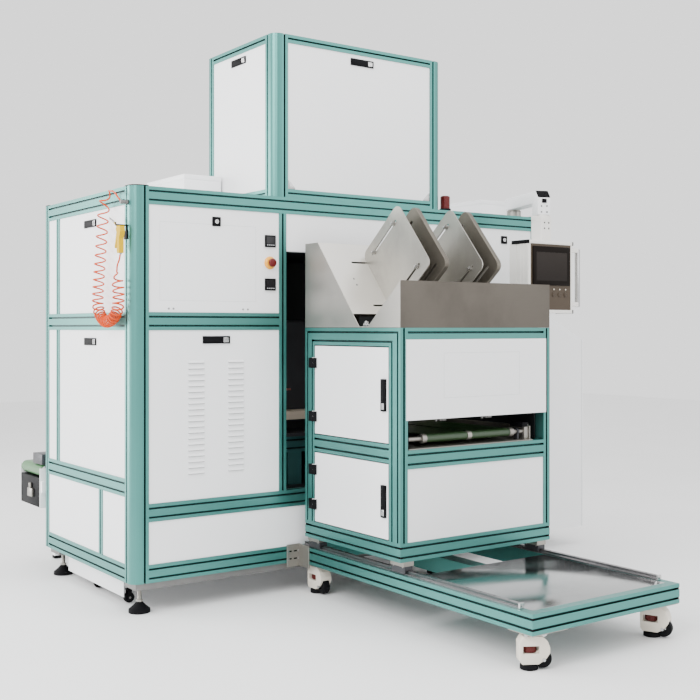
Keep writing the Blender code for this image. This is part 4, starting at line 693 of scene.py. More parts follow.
    def cut(self, other: "Shape") -> "Shape":
        """Take another shape's volume out of this one.

        Args:
            other: what to take away, drawn in the same axes and used up.
        Returns:
            This shape.
        """
        solids = []
        for shape in (self, other):
            mesh = bpy.data.meshes.new("carving")
            shape.mesh.to_mesh(mesh)
            solids.append(bpy.data.objects.new("carving", mesh))
            bpy.context.scene.collection.objects.link(solids[-1])
        carve = solids[0].modifiers.new("carve", "BOOLEAN")
        carve.operation = "DIFFERENCE"
        carve.solver = "EXACT"
        carve.object = solids[1]
        ready = bpy.context.evaluated_depsgraph_get()
        result = bpy.data.meshes.new_from_object(solids[0].evaluated_get(ready))
        self.mesh.clear()
        self.mesh.from_mesh(result)
        other.mesh.free()
        for solid in solids:
            bpy.data.objects.remove(solid, do_unlink=True)
        return self

    def screw(self, x: float, y: float, z: float = 0.0, radius: float = 0.004) -> "Shape":
        """Add a socket-headed screw standing on the fitting's face.

        Args:
            x: its place across the face.
            y: its place up the face.
            z: the face's own height.
            radius: its head's radius.
        Returns:
            This shape.
        """
        profile = [(0, SUNK), (radius * 0.5, SUNK), (radius * 0.5, radius * 0.55),
                   (radius * 0.9, radius * 0.55), (radius, radius * 0.4), (radius, -0.0005)]
        return self.lathe(profile, (x, y, z), 12)

    def screws(self, columns: Iterable[float], levels: Iterable[float],
               radius: float) -> "Shape":
        """Add a screw at each crossing of some columns and levels.

        Args:
            columns: the places across the face.
            levels: the places up the face.
            radius: the heads' radius.
        Returns:
            This shape.
        """
        for x in columns:
            for y in levels:
                self.screw(x, y, 0.0, radius)
        return self

    def outline(self, low: Pair, high: Pair, line: float, under: float, over: float,
                radius: float = 0.0) -> "Shape":
        """Add the four bars of a rectangle that lies on the fitting's face.

        Args:
            low: its lowest corner.
            high: its highest corner.
            line: how wide the bars are.
            under: where they start, along the face's outward axis.
            over: where they end.
            radius: the rounding of their edges.
        Returns:
            This shape.
        """
        (x0, y0), (x1, y1) = low, high
        for start, end in (((x0, y0), (x1, y0 + line)), ((x0, y1 - line), (x1, y1)),
                           ((x0, y0), (x0 + line, y1)), ((x1 - line, y0), (x1, y1))):
            self.box((*start, under), (*end, over), radius)
        return self

    def done(self, name: str, finish: Finish, body: str = "machine",
             stands_for: tuple[str, ...] = ()) -> bpy.types.Object:
        """Turn the shape into a finished piece of the machine.

        Args:
            name: the piece's name.
            finish: its finish.
            body: the body that carries it.
            stands_for: model nodes that the piece takes the place of.
        Returns:
            The piece.
        """
        mesh = bpy.data.meshes.new(name)
        self.mesh.transform(self.place)
        self.mesh.to_mesh(mesh)
        self.mesh.free()
        mesh.materials.append(finish.material())
        made = bpy.data.objects.new(name, mesh)
        bpy.context.scene.collection.objects.link(made)
        mesh.shade_smooth()
        mesh.set_sharp_from_angle(angle=math.radians(SMOOTH_UNDER))
        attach(made, body)
        if stands_for:
            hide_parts(*stands_for)
        LOG.info("%s: %d faces on %s", name, len(mesh.polygons), body)
        return made


def coat(finish: Finish, *nodes: str) -> None:
    """Give model nodes a finish.

    Args:
        finish: the finish.
        nodes: the nodes' names.
    """
    for node in nodes:
        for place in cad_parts[node].material_slots:
            place.material = finish.material()
        LOG.info("%s: coated with %s", node, finish.name)


def tyre(bore: float, shoulder: tuple[Pair, ...], radius: float) -> list[Pair]:
    """A closed lathe profile of a small wheel's tyre.

    Args:
        bore: its inner radius.
        shoulder: its outline from the flank's edge to the tread, on one side.
        radius: its outer radius.
    Returns:
        Radius and height pairs.
    """
    side = [(bore, shoulder[0][1]), *shoulder]
    return [*mirrored(side, ((radius, 0.0),)), side[0]]


# Light, floor and camera


@dataclass
class Studio:
    """The photographer's place: camera, soft lights and a pale floor."""

    eye: Point = (-2.069, -4.527, 1.2777)
    heading: float = -35.52
    lens: float = 55.955
    rise: float = -0.0321

    def set_camera(self) -> None:
        """Put the camera where the photograph was taken from."""
        camera = bpy.data.cameras.new("camera")
        camera.lens = self.lens
        camera.sensor_width = 36.0
        camera.shift_y = self.rise
        camera.clip_end = 100.0
        stand = bpy.data.objects.new("camera", camera)
        stand.location = self.eye
        stand.rotation_euler = (math.radians(90.0), 0.0, math.radians(self.heading))
        bpy.context.scene.collection.objects.link(stand)
        bpy.context.scene.camera = stand

    def lamp(self, name: str, place: Point, aim: Point, size: float, power: float) -> None:
        """Hang one square soft box.

        Args:
            name: the lamp's name.
            place: where it hangs.
            aim: what it points at.
            size: the length of its side.
            power: its watts.
        """
        light = bpy.data.lights.new(name, "AREA")
        light.size = size
        light.energy = power
        lamp = bpy.data.objects.new(name, light)
        lamp.location = place
        lamp.rotation_euler = (Vector(aim) - Vector(place)).to_track_quat("-Z", "Y").to_euler()
        bpy.context.scene.collection.objects.link(lamp)

    def light(self) -> None:
        """A bright room, a key, a fill, a top light and one that glares off the left side."""
        world = bpy.data.worlds.new("room")
        world.use_nodes = True
        sky = world.node_tree.nodes["Background"]
        sky.inputs["Color"].default_value = (1.0, 1.0, 1.0, 1.0)
        sky.inputs["Strength"].default_value = 1.6
        bpy.context.scene.world = world
        self.lamp("key", (-3.6, -2.2, 4.2), (0.6, -0.2, 1.1), 3.2, 300.0)
        self.lamp("fill", (4.6, -5.2, 3.4), (1.2, -0.4, 1.0), 3.6, 70.0)
        self.lamp("glare", (-4.2, 4.6, 1.9), (-0.1, 0.5, 1.1), 3.6, 420.0)
        self.lamp("top", (1.0, -1.0, 5.2), (1.0, 0.0, 0.0), 4.0, 120.0)

    def floor(self) -> None:
        """Lay the floor."""
        ground = bmesh.new()
        bmesh.ops.create_grid(ground, x_segments=1, y_segments=1, size=14.0)
        mesh = bpy.data.meshes.new("floor")
        ground.to_mesh(mesh)
        ground.free()
        mesh.materials.append(Painted("pale_floor", "white_panel", (0.9, 0.9, 0.9),
                                      0.6).material())
        made = bpy.data.objects.new("floor", mesh)
        bpy.context.scene.collection.objects.link(made)


# Air hose


@dataclass
class AirHose:
    """The coiled air hose on the left side, with its blow gun."""

    bore: float = 0.0072
    coil: float = 0.0238
    plane: float = -0.04
    coil_route: tuple[Pair, ...] = (
        (0.082, 1.868), (0.12, 1.885), (0.163, 1.885), (0.199, 1.856), (0.222, 1.803),
        (0.233, 1.739), (0.246, 1.67), (0.265, 1.558), (0.278, 1.488), (0.287, 1.427),
        (0.285, 1.375), (0.25, 1.329), (0.184, 1.303), (0.103, 1.325), (0.063, 1.367),
        (0.056, 1.422), (0.064, 1.481), (0.074, 1.522))
    lead_route: tuple[Pair, ...] = ((0.068, 1.552), (0.046, 1.578),
                                                   (0.036, 1.603))
    pitches: tuple[Pair, ...] = (
        (0.0, 0.085), (0.15, 0.075), (0.22, 0.05), (0.4, 0.04), (0.6, 0.029),
        (0.68, 0.018), (0.84, 0.018), (0.92, 0.027), (1.01, 0.03), (1.07, 0.06), (3.0, 0.07))
    fitting: Point = (-0.028, 0.056, 1.832)
    per_turn: int = 18
    lead_in: int = 8
    coil_start: float = 0.075
    coil_growth: float = 0.07
    coil_fade: float = 0.045

    def axis(self, route: list[Pair], per_leg: int) -> list[Vector]:
        """Points on a smooth curve through a route.

        Args:
            route: the places that it passes.
            per_leg: the points on each leg.
        Returns:
            The points in Y and Z.
        """
        line = [Vector(route[0])] + [Vector(p) for p in route] + [Vector(route[-1])]
        points = []
        for a, b, c, d in zip(line, line[1:], line[2:], line[3:]):
            for step in range(per_leg):
                t = step / per_leg
                points.append(0.5 * (2 * b + (c - a) * t + (2 * a - 5 * b + 4 * c - d) * t ** 2
                                     + (3 * b - a - 3 * c + d) * t ** 3))
        return points + [line[-1]]

    def pitch(self, along: float) -> float:
        """The coil's pitch.

        Args:
            along: a distance along the coil's axis.
        Returns:
            The pitch there.
        """
        for (start, low), (end, high) in zip(self.pitches, self.pitches[1:]):
            if start <= along <= end:
                return low + (high - low) * (along - start) / (end - start)
        return self.pitches[-1][1]

    def path(self) -> list[Vector]:
        """The hose's own centre line, wound about the axis of its coil.

        Returns:
            Points from the wall fitting to the gun.
        """
        axis = self.axis(list(self.coil_route), 40)
        total = sum((b - a).length for a, b in zip(axis, axis[1:]))
        points, angle, along, due = [], 0.0, 0.0, 0.0
        start, first = Vector(self.fitting), Vector((self.plane, *self.coil_route[0]))
        for step in range(self.lead_in):
            t = step / self.lead_in
            spot = start.lerp(first, t)
            spot.x = start.x + (first.x - start.x) * t * t * (3 - 2 * t)
            points.append(spot)
        for before, after in zip(axis, axis[1:]):
            run, steps = after - before, 24
            for step in range(steps):
                here = before + run * step / steps
                s = along + run.length * step / steps
                turn = math.tau * run.length / steps / self.pitch(s)
                angle += turn
                due += turn
                if due < math.tau / self.per_turn:
                    continue
                due -= math.tau / self.per_turn
                rise = min(1.0, (s - self.coil_start) / self.coil_growth,
                           (total - s) / self.coil_fade)
                radius = self.coil * max(0.0, rise) ** 0.7
                ahead = run.normalized()
                side = Vector((0.0, -ahead.y, ahead.x))
                spot = Vector((self.plane, here.x, here.y))
                points.append(spot + radius * (math.cos(angle) * side
                                               + math.sin(angle) * Vector((1, 0, 0))))
            along += run.length
        tail = self.axis([self.coil_route[-1]] + list(self.lead_route), 6)
        points += [Vector((self.plane, p.x, p.y)) for p in tail]
        return [at(*point) for point in points]

    def build(self) -> None:
        path = self.path()
        curve = bpy.data.curves.new("air_hose", "CURVE")
        curve.dimensions = "3D"
        curve.bevel_depth = self.bore / 2
        curve.bevel_resolution = 2
        curve.use_fill_caps = True
        spline = curve.splines.new("POLY")
        spline.points.add(len(path) - 1)
        for point, place in zip(spline.points, path):
            point.co = (*place, 1.0)
        spline.use_smooth = True
        curve.materials.append(ORANGE.material())
        hose = bpy.data.objects.new("air_hose", curve)
        bpy.context.scene.collection.objects.link(hose)
        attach(hose, "machine")
        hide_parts("hose_coil", "hose_lead")

    def dress(self) -> None:
        """Finish the gun, its hook and the wall fitting."""
        coat(YELLOW, "blow_gun")
        coat(BLACK, "gun_hook")
        x = self.plane
        out, y, z = self.fitting
        Shape().rod((0.0, y - 0.01, z), (out - 0.008, y - 0.01, z), 0.0085, 20,
                    rim=0.001).rod(
            (out, y - 0.012, z - 0.004), (out, y + 0.0015, z + 0.0008), 0.0072, 20,
            rim=0.001).rod(
            (-0.0005, y - 0.01, z), (-0.01, y - 0.01, z), 0.0115, 6, rim=0.001).done(
            "hose_elbow", DULL_STEEL, stands_for=("hose_fitting",))
        Shape().rod((x, 0.096, 1.7418), (x, 0.1512, 1.7667), 0.0044, 16).rod(
            (x, 0.049, 1.714), (x, 0.064, 1.7232), 0.0075, 16, rim=0.001).done(
            "gun_nozzle", BRIGHT)
        Shape().rod((x, 0.036, 1.6052), (x, 0.036, 1.599), 0.0062, 6).done(
            "gun_inlet_nut", BRIGHT)


# Latches and small controls


@dataclass
class FlushLatch:
    """A flush paddle latch: black body, sunk lever and a ribbed bright key cylinder."""

    length: float = 0.14
    height: float = 0.034
    proud: float = 0.005
    upright: bool = False

    def build(self, name: str, face: Face, centre: Vector, body: str = "machine") -> None:
        """Fit the latch over its solid.

        Args:
            name: the latch's name.
            face: which way it looks.
            centre: the middle of its seat on the panel's face.
            body: the body that carries it.
        """
        place = face.placed(centre)
        if self.upright:
            place = place @ turned("Z", -90.0)
        u, v, n = self.length / 2 + 0.0004, self.height / 2 + 0.0004, self.proud + 0.0004
        Shape(place).outline((-u, -v), (u, v), 0.004, SUNK, n, 0.0008).box(
            (-u + 0.003, -v + 0.003, SUNK), (u - 0.003, v - 0.003, n - 0.0003)).box(
            (-u + 0.006, -v + 0.006, 0.0), (u * 0.42, v - 0.006, n + 0.0012), 0.001).done(
            name + "_body", BLACK, body)
        key = Shape(place)
        start, end = u * 0.5, u - 0.008
        key.box((start, -v + 0.006, 0.0), (end, v - 0.006, n + 0.001), 0.001)
        for x in rows(start + 0.004, end - 0.004, 5):
            key.box((x - 0.0012, -v + 0.008, n), (x + 0.0012, v - 0.008, n + 0.0026), 0.0006, 1)
        key.done(name + "_key", BRIGHT, body)


@dataclass
class SquareLock:
    """A square cam lock: black body round a bright barrel."""

    half: float = 0.0215
    proud: float = 0.0055

    def build(self, name: str, centre: Vector) -> None:
        """Fit the lock to a front panel.

        Args:
            name: the lock's name.
            centre: the middle of its seat.
        """
        place = Face.FRONT.placed(centre)
        half, proud = self.half, self.proud
        Shape(place).box((-half, -half, -0.001), (half, half, proud), 0.0012).done(
            name + "_body", BLACK)
        Shape(place).lathe([(0, proud + 0.0007), (0.0052, proud + 0.0007),
                            (0.0052, proud + 0.0023), (0.0098, proud + 0.0023),
                            (0.0104, proud + 0.0013), (0.0104, proud - 0.0015)], steps=24).box(
            (-0.0012, -0.004, proud), (0.0012, 0.004, proud + 0.0017)).done(
            name + "_barrel", BRIGHT)


@dataclass
class ControlDoor:
    """The control door with its two meters, its lock and its stop button."""

    column: float = 0.707
    middle: float = 1.5855
    seat: float = 0.004
    meter: float = 0.056
    spread: float = 0.103
    lock: Pair = (0.4185, 1.766)

    def build_meters(self) -> None:
        """Two panel meters, each a bezel round dark glass with a row of keys."""
        for name, rise in (("upper", self.spread), ("lower", -self.spread)):
            place = Face.FRONT.placed(at(self.column, self.seat, self.middle + rise))
            h = self.meter / 2 + 0.0005
            Shape(place).box((-h, -h, -0.001), (h, h, 0.009), 0.0012).cut(
                Shape(place).box((-h + 0.005, -h + 0.016, -1), (h - 0.005, h - 0.006, 1))).done(
                name + "_meter_bezel", BLACK)
            Shape(place).box((-h + 0.004, -h + 0.015, 0.0), (h - 0.004, h - 0.005, 0.0083)).done(
                name + "_meter_glass", GLASS_BLACK)
            keys = Shape(place)
            for x in rows(-0.017, 0.017, 4):
                keys.box((x - 0.0035, -h + 0.008, 0.0), (x + 0.0035, -h + 0.0125, 0.0092),
                         0.0004, 1)
            keys.done(name + "_meter_keys", LINE)

    def build_stop(self) -> None:
        """The stop button: amber collar and red mushroom head."""
        place = Face.FRONT.placed(at(self.column, self.seat - 0.004, self.middle))
        Shape(place).lathe([(0.0115, 0.0095), (0.02, 0.0095), (0.0235, 0.008),
                            (0.029, 0.002), (0.0304, 0.0), (0.0304, -0.004),
                            (0.0115, -0.004), (0.0115, 0.0095)], steps=40).done(
            "stop_button_collar", AMBER)
        Shape(place).lathe([(0, 0.03), (0.012, 0.0298), (0.0165, 0.0286), (0.0192, 0.0262),
                            (0.02, 0.0235), (0.02, 0.0185), (0.0188, 0.0165),
                            (0.0112, 0.014), (0.011, 0.0001), (0, 0.0001)], steps=40).done(
            "stop_button_head", RED, "stop_button", stands_for=("stop_button",))

    def build_lock(self) -> None:
        """The square lock, the door's border line and its hinge pins."""
        x, z = self.lock
        SquareLock().build("door_lock", at(x, self.seat, z))
        face = Face.FRONT.placed(at(0, self.seat, 0))
        Shape(face).outline((0.134, 1.399), (0.63, 1.752), 0.0008, -0.0003, 0.0003).done(
            "door_border_line", LINE)
        Shape(face).screws((0.178, 0.201, 0.56, 0.586), (1.3628,), 0.0042).done(
            "door_hinge_screws", DULL_STEEL)

    def build(self) -> None:
        """Coat the door and fit its controls."""
        coat(WHITE, "control_door")
        self.build_meters()
        self.build_stop()
        self.build_lock()


# Main machine


@dataclass
class Cabinet:
    """The framed machine body with its doors, roof, end cover and feet."""

    width: float = 2.52
    depth: float = 1.11
    top: float = 1.905
    louvres: int = 20
    pitch: float = 0.0265
    columns: Pair = (0.3155, 0.5215)
    first_louvre: float = 1.128
    wheels: tuple[float, ...] = (0.275, 0.63)
    sill: Pair = (0.1107, 0.1447)

    def coat(self) -> None:
        """Give the cabinet's model nodes their finishes."""
        coat(TEAL, "front_frame", "back_frame", "left_frame", "right_frame")
        coat(WHITE, "machine_housing", "louvred_door", "left_upper_door", "left_lower_door",
             "end_cover")

    def post_caps(self) -> None:
        """Moulded caps on the four posts."""
        for name, x, y, turn in (("front_left", 0, 0, 0), ("front_right", self.width, 0, 90),
                                 ("back_right", self.width, self.depth, 180),
                                 ("back_left", 0, self.depth, 270)):
            points = [(0.0445 - 0.0445 * math.cos(math.radians(a)),
                       0.0445 - 0.0445 * math.sin(math.radians(a))) for a in range(0, 91, 9)]
            points += [(0.0795, 0.0005), (0.0795, 0.0795), (0.0005, 0.0795)]
            place = put(x, y, self.top) @ turned("Z", turn)
            Shape(place).prism(points, 0.0002, 0.0042, 0.0008).done(name + "_post_cap", BEZEL)

    def front_latches(self) -> None:
        """Latches on the louvred door and the two left doors."""
        latch = FlushLatch()
        latch.build("louvred_door_latch", Face.FRONT, at(0.4185, 0.004, 1.221))
        latch.build("left_upper_latch", Face.LEFT, at(0.004, 0.4805, 1.77))
        latch.build("left_lower_latch", Face.LEFT, at(0.004, 0.4805, 1.211))

    def right_door(self) -> None:
        """The small door at the right, with its square lock."""
        low, high = (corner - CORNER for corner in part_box("right_door"))
        Shape().box((low.x, 0.004, low.z), (high.x, high.y, high.z), 0.001).done(
            "right_door_sheet", WHITE, stands_for=("right_door",))
        SquareLock().build("right_door_lock", at((low.x + high.x) / 2, 0.004, 1.766))

    def louvre_shadow_strips(self) -> None:
        """The painted shadow under each louvre: a gunmetal strip in front of the door."""
        shadow_strips = Shape(Face.FRONT.placed(at(0, 0.004, 0)))
        drop = self.pitch * 0.42
        for x in self.columns:
            for count in range(self.louvres):
                z = self.first_louvre - count * self.pitch - drop
                shadow_strips.box((x - 0.04, z - 0.0016, 0.0001), (x + 0.04, z - 0.0001, 0.0052))
        shadow_strips.done("louvre_shadow_strips", GUNMETAL)

    def feet(self) -> None:
        """Sills and side members, and the levelling feet with their stems and nuts."""
        low, high = self.sill
        spots_x = (0.075, self.width - 0.075)
        spots_y = (0.09, self.depth - 0.09)
        steel = Shape()
        for y in spots_y:
            steel.box((0.03, y - 0.06, low), (self.width - 0.03, y + 0.06, high), 0.0015)
        for x0, x1 in ((0.055, 0.121), (self.width - 0.121, self.width - 0.055)):
            steel.box((x0, 0.149, low + 0.002), (x1, self.depth - 0.149, high - 0.002), 0.001, 1)
        steel.done("sills", DULL_STEEL, stands_for=("foot_frame",))
        pads, stems = Shape(), Shape()
        for x in spots_x:
            for y in spots_y:
                pads.lathe([(0, 0.0485), (0.014, 0.0485), (0.0206, 0.0405), (0.03, 0.031),
                            (0.0424, 0.0203), (0.048, 0.0165), (0.049, 0.012),
                            (0.0488, 0.0012), (0.047, 0.0002), (0, 0.0002)], (x, y, 0), 40)
                thread = [(0, 0.047)]
                for count in range(16):
                    z = 0.048 + count * 0.0038
                    thread += [(0.0092, z), (0.01, z + 0.001), (0.0092, z + 0.0022)]
                stems.lathe(thread + [(0.0092, low + 0.001), (0, low + 0.001)], (x, y, 0), 20)
                stems.rod((x, y, low - 0.0105), (x, y, low + 0.0005), 0.017, 6, rim=0.001)
                stems.rod((x, y, 0.048), (x, y, 0.059), 0.0155, 6, rim=0.001)
        pads.done("foot_pads", RUBBER)
        stems.done("foot_stems", STEEL)

    def transport_wheels(self) -> None:
        """Two small wheels under each side, set across it."""
        tyres, hubs, forks = Shape(), Shape(), Shape()
        for x in (0.107, self.width - 0.107):
            for y in self.wheels:
                turn = Matrix.Translation((x, y, 0.0254)) @ turned("X")
                tyres.lathe(tyre(0.008, ((0.0212, 0.0104), (0.0242, 0.008)), 0.025), local=turn)
                hubs.lathe(mirrored([(0, 0.015), (0.0055, 0.015), (0.0085, 0.0107)]),
                           steps=20, local=turn)
                for reach in (-0.0135, 0.0135):
                    forks.box((x - 0.01, y + reach - 0.0012, 0.018),
                              (x + 0.01, y + reach + 0.0012, 0.062), 0.0008, 1)
                forks.box((x - 0.014, y - 0.017, 0.061), (x + 0.014, y + 0.017, 0.064))
                forks.rod((x, y, 0.063), (x, y, self.sill[0] + 0.003), 0.009, 16)
        tyres.done("transport_wheel_tyres", RUBBER)
        hubs.done("transport_wheel_hubs", DULL_STEEL)
        forks.done("transport_wheel_forks", BLACK)

    def skirts(self) -> None:
        """White skirts hung under the two sides."""
        for name, x in (("left", 0.0585), ("right", self.width - 0.0585)):
            Shape().box((x - 0.0015, 0.2215, 0.042), (x + 0.0015, 0.9015, 0.1406), 0.0008).done(
                name + "_skirt", WHITE)

    def roof(self) -> None:
        """The roof sheet between the posts, and its two covers with lids and screws."""
        near, post, inset = 0.0403, 0.0803, 0.015
        right, back = self.width - near, self.depth - near
        end, rear = self.width - post, self.depth - post
        sheet = Shape().prism([(post, near), (end, near), (end, post), (right, post),
                               (right, rear), (end, rear), (end, back), (post, back),
                               (post, rear), (near, rear), (near, post), (post, post)],
                              self.top - 0.0203, self.top - 0.0003)
        sheet.done("roof_sheet", WHITE, stands_for=("roof",))
        for name, (x0, y0), (x1, y1), base, z in (
                ("left", (0.508, 0.505), (0.718, 0.935), self.top - 0.001, 2.0517),
                ("right", (2.3, 0.27), (2.5, 0.6), self.top + 0.0005, 2.022)):
            Shape().box((x0, y0, base), (x1, y1, z - 0.024), 0.0012).box(
                (x0 - 0.0015, y0 - 0.0015, z - 0.0245), (x1 + 0.0015, y1 + 0.0015, z),
                0.0012).done(name + "_roof_cover", WHITE)
            Shape(Face.TOP.placed(at(0, 0, z))).screws(
                (x0 + inset, x1 - inset), (y0 + inset, y1 - inset), 0.0035).done(
                name + "_cover_screws", BRIGHT)

    def beacon(self) -> None:
        """The warning lamp: black foot, ribbed red lens and its cap."""
        x, y, z = 1.842, 0.052, self.top + 0.0003
        foot = Shape().lathe([(0.0302, 0.0136), (0.0313, 0.012), (0.0313, 0.0002),
                              (0, 0.0002)], (x, y, z), 40)
        foot.done("beacon_foot", BLACK)
        profile = [(0, 0.0834), (0.019, 0.0834), (0.025, 0.08), (0.0264, 0.0765)]
        for count in range(14):
            rise = 0.0745 - count * 0.0042
            profile += [(0.0266, rise), (0.0258, rise - 0.0021)]
        profile += [(0.0264, 0.0138), (0, 0.0138)]
        Shape().lathe(profile, (x, y, z), 40).done("beacon_lens", RED, stands_for=("beacon",))

    def end_cover(self) -> None:
        """Edge folds and screws of the cover on the right end."""
        folds = Shape()
        x0, x1 = self.width + 0.0003, self.width + 0.3473
        for y in (-0.0004, self.depth + 0.0004):
            folds.box((x1 - 0.014, y - 0.0006, 0.1072), (x1 - 0.0128, y + 0.0006, 1.21))
            folds.box((x0 + 0.01, y - 0.0006, 0.1072), (x0 + 0.0112, y + 0.0006, 1.36))
        folds.done("end_cover_seams", LINE)
        Shape(Face.RIGHT.placed(at(x1 - 0.0029, 0, 0))).screws(
            (0.03, self.depth / 2, self.depth - 0.03), (0.15, 0.66, 1.17), 0.005).done(
            "end_cover_screws", BRIGHT)

    def sill_shadow(self) -> None:
        """Black strips that stand for the shadow between the sills and the frame."""
        strips = Shape()
        for y0, y1 in ((0.0295, 0.15), (self.depth - 0.15, self.depth - 0.0295)):
            strips.box((0.13, y0 - 0.0009, 0.139), (self.width - 0.13, y1 + 0.0009, 0.1449))
        strips.done("sill_shadow_strips", RUBBER)

    def build(self) -> None:
        """Build and dress the whole cabinet."""
        self.coat()
        self.post_caps()
        self.front_latches()
        self.right_door()
        self.louvre_shadow_strips()
        self.feet()
        self.transport_wheels()
        self.skirts()
        self.roof()
        self.beacon()
        self.end_cover()
        self.sill_shadow()


@dataclass
class UpperBox:
    """The box on the roof, its latches and the gussets that hold it down."""

    left: float = 0.727
    right: float = 1.773
    base: float = 1.9053
    depth: float = 0.684
    latch_level: float = 2.6127

    def build(self) -> None:
        """Coat the box and fit its hardware."""
        coat(TEAL, "upper_frame")
        coat(WHITE, "upper_housing", "upper_front_panel", "upper_left_panel")
        latch = FlushLatch()
        middle = (self.left + self.right) / 2
        latch.build("upper_front_latch", Face.FRONT, at(middle, 0.004, self.latch_level))
        latch.build("upper_left_latch", Face.LEFT,
                    at(self.left + 0.004, self.depth / 2, self.latch_level))
        gussets, bolts = Shape(), Shape()
        for x, side in ((self.left + 0.08, 1), (self.right - 0.08, -1)):
            local = (Matrix.Translation((x, 0.034, self.base + 0.0402))
                     @ turned("X"))
            if side < 0:
                local = local @ turned("Y", 180.0)
            gussets.prism([(0.0005, 0.0), (0.042, 0.0), (0.042, 0.006), (0.006, 0.042),
                           (0.0005, 0.042)], 0.0 if side > 0 else -0.032,
                          0.032 if side > 0 else 0.0, 0.001, local)
            bolts.rod((x + side * 0.024, 0.018, self.base + 0.04),
                      (x + side * 0.024, 0.018, self.base + 0.054), 0.007, 12, rim=0.001)
        gussets.done("upper_box_gussets", BRIGHT)
        bolts.done("upper_box_gusset_bolts", BLACK)


@dataclass
class Interior:
    """What shows in the infeed mouth: fittings, an air line, the table and its boards."""

    left: float = 0.8

    def build(self) -> None:
        """Coat the mouth and set out its fittings."""
        # the chamber's near black is painted shade
        coat(SHADE_BLACK, "infeed_chamber")
        coat(GUNMETAL, "vacuum_chambers")
        coat(CHAMBER_TEAL, "table_frame")
        x = self.left
        boards = Shape()
        boards.box((x + 0.01, 0.192, 0.841), (x + 1.16, 0.7, 0.856), 0.001, 1)
        boards.box((x + 0.01, 0.186, 0.815), (x + 1.16, 0.192, 0.846), 0.001, 1)
        boards.box((x + 0.02, 0.188, 0.75), (x + 0.05, 0.192, 0.815), 0.001, 1)
        boards.done("table_boards", CREAM_BOARD)
        fittings = Shape()
        for z in (1.148, 1.182, 1.216):
            fittings.rod((x + 0.012, 0.3, z), (x + 0.07, 0.3, z), 0.0085, 16, rim=0.001)
            fittings.rod((x + 0.03, 0.3, z), (x + 0.046, 0.3, z), 0.013, 6, rim=0.001)
        fittings.box((x + 0.008, 0.27, 1.132), (x + 0.022, 0.33, 1.232), 0.001, 1)
        fittings.done("air_manifold", BRIGHT)
        Shape().box((x + 0.04, 0.285, 1.105), (x + 0.075, 0.325, 1.14), 0.003).done(
            "air_valve", CREAM_BOARD)
        curve = bpy.data.curves.new("chamber_air_line", "CURVE")
        curve.dimensions = "3D"
        curve.bevel_depth = 0.005
        curve.bevel_resolution = 3
        curve.use_fill_caps = True
        spline = curve.splines.new("BEZIER")
        places = [(x + 0.058, 0.3, 1.106), (x + 0.07, 0.3, 1.02), (x + 0.13, 0.3, 0.965),
                  (x + 0.21, 0.3, 0.96)]
        spline.bezier_points.add(len(places) - 1)
        for knot, place in zip(spline.bezier_points, places):
            knot.co = at(*place)
            knot.handle_left_type = knot.handle_right_type = "AUTO"
        line = bpy.data.objects.new("chamber_air_line", curve)
        bpy.context.scene.collection.objects.link(line)
        mesh = bpy.data.meshes.new_from_object(line)
        bpy.data.objects.remove(line)
        made = bpy.data.objects.new("chamber_air_line", mesh)
        mesh.materials.clear()
        mesh.materials.append(PINK.material())
        mesh.shade_smooth()
        bpy.context.scene.collection.objects.link(made)
        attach(made, "machine")


@dataclass
class Outfeed:
    """The cross conveyor behind the machine."""

    near: float = 1.13
    far: float = 1.44
    end: float = -0.01
    reach: float = 1.74
    belt_top: float = 0.555

    def build(self) -> None:
        """Coat the conveyor and fit its motor panel and guard."""
        coat(WHITE, "outfeed_frame")
        coat(BRIGHT_GREEN, "outfeed_belt")
        x, z = self.end, self.belt_top
        Shape().box((x + 0.0045, self.near + 0.0065, 0.333), (x + 0.138, self.far - 0.0065,
                    0.488), 0.002).done("outfeed_motor_box", BLACK)
        plug = Shape(Face.LEFT.placed(at(x + 0.0045, 0, 0)))
        plug.box((-1.3, 0.38, 0.0), (-1.235, 0.425, 0.014), 0.003)
        plug.rod((-1.268, 0.425, 0.0075), (-1.268, 0.452, 0.0075), 0.009, 16, rim=0.001)
        plug.done("outfeed_terminal_box", STEEL)
        guard = Shape().box((x + 0.012, self.near + 0.004, z + 0.0025),
                            (x + 0.09, self.near + 0.14, z + 0.057), 0.0015)
        guard.box((x + 0.03, self.near - 0.0005, z - 0.04), (x + 0.072, self.near + 0.006,
                  z + 0.03), 0.001, 1)
        guard.done("outfeed_sensor_guard", GUNMETAL)
        spots, levels, head = rows(x + 0.06, x + self.reach - 0.06, 9), (0.36, 0.505), 0.005
        Shape(Face.FRONT.placed(at(0, self.near, 0))).screws(spots, levels, head).done(
            "outfeed_near_bolts", BRIGHT)
        Shape(Face.BACK.placed(at(0, self.far - 0.004, 0))).screws(
            [-spot for spot in spots], levels, head).done("outfeed_far_bolts", BRIGHT)
        caps = Shape()
        for spot in (x + 0.18, x + self.reach - 0.23):
            for y0, y1 in ((self.near - 0.0008, self.near + 0.0408),
                           (self.far - 0.0408, self.far)):
                caps.box((spot - 0.0008, y0, 0.0002), (spot + 0.0408, y1, 0.018), 0.002)
        caps.done("outfeed_leg_caps", BLACK)


# Rail base and loader


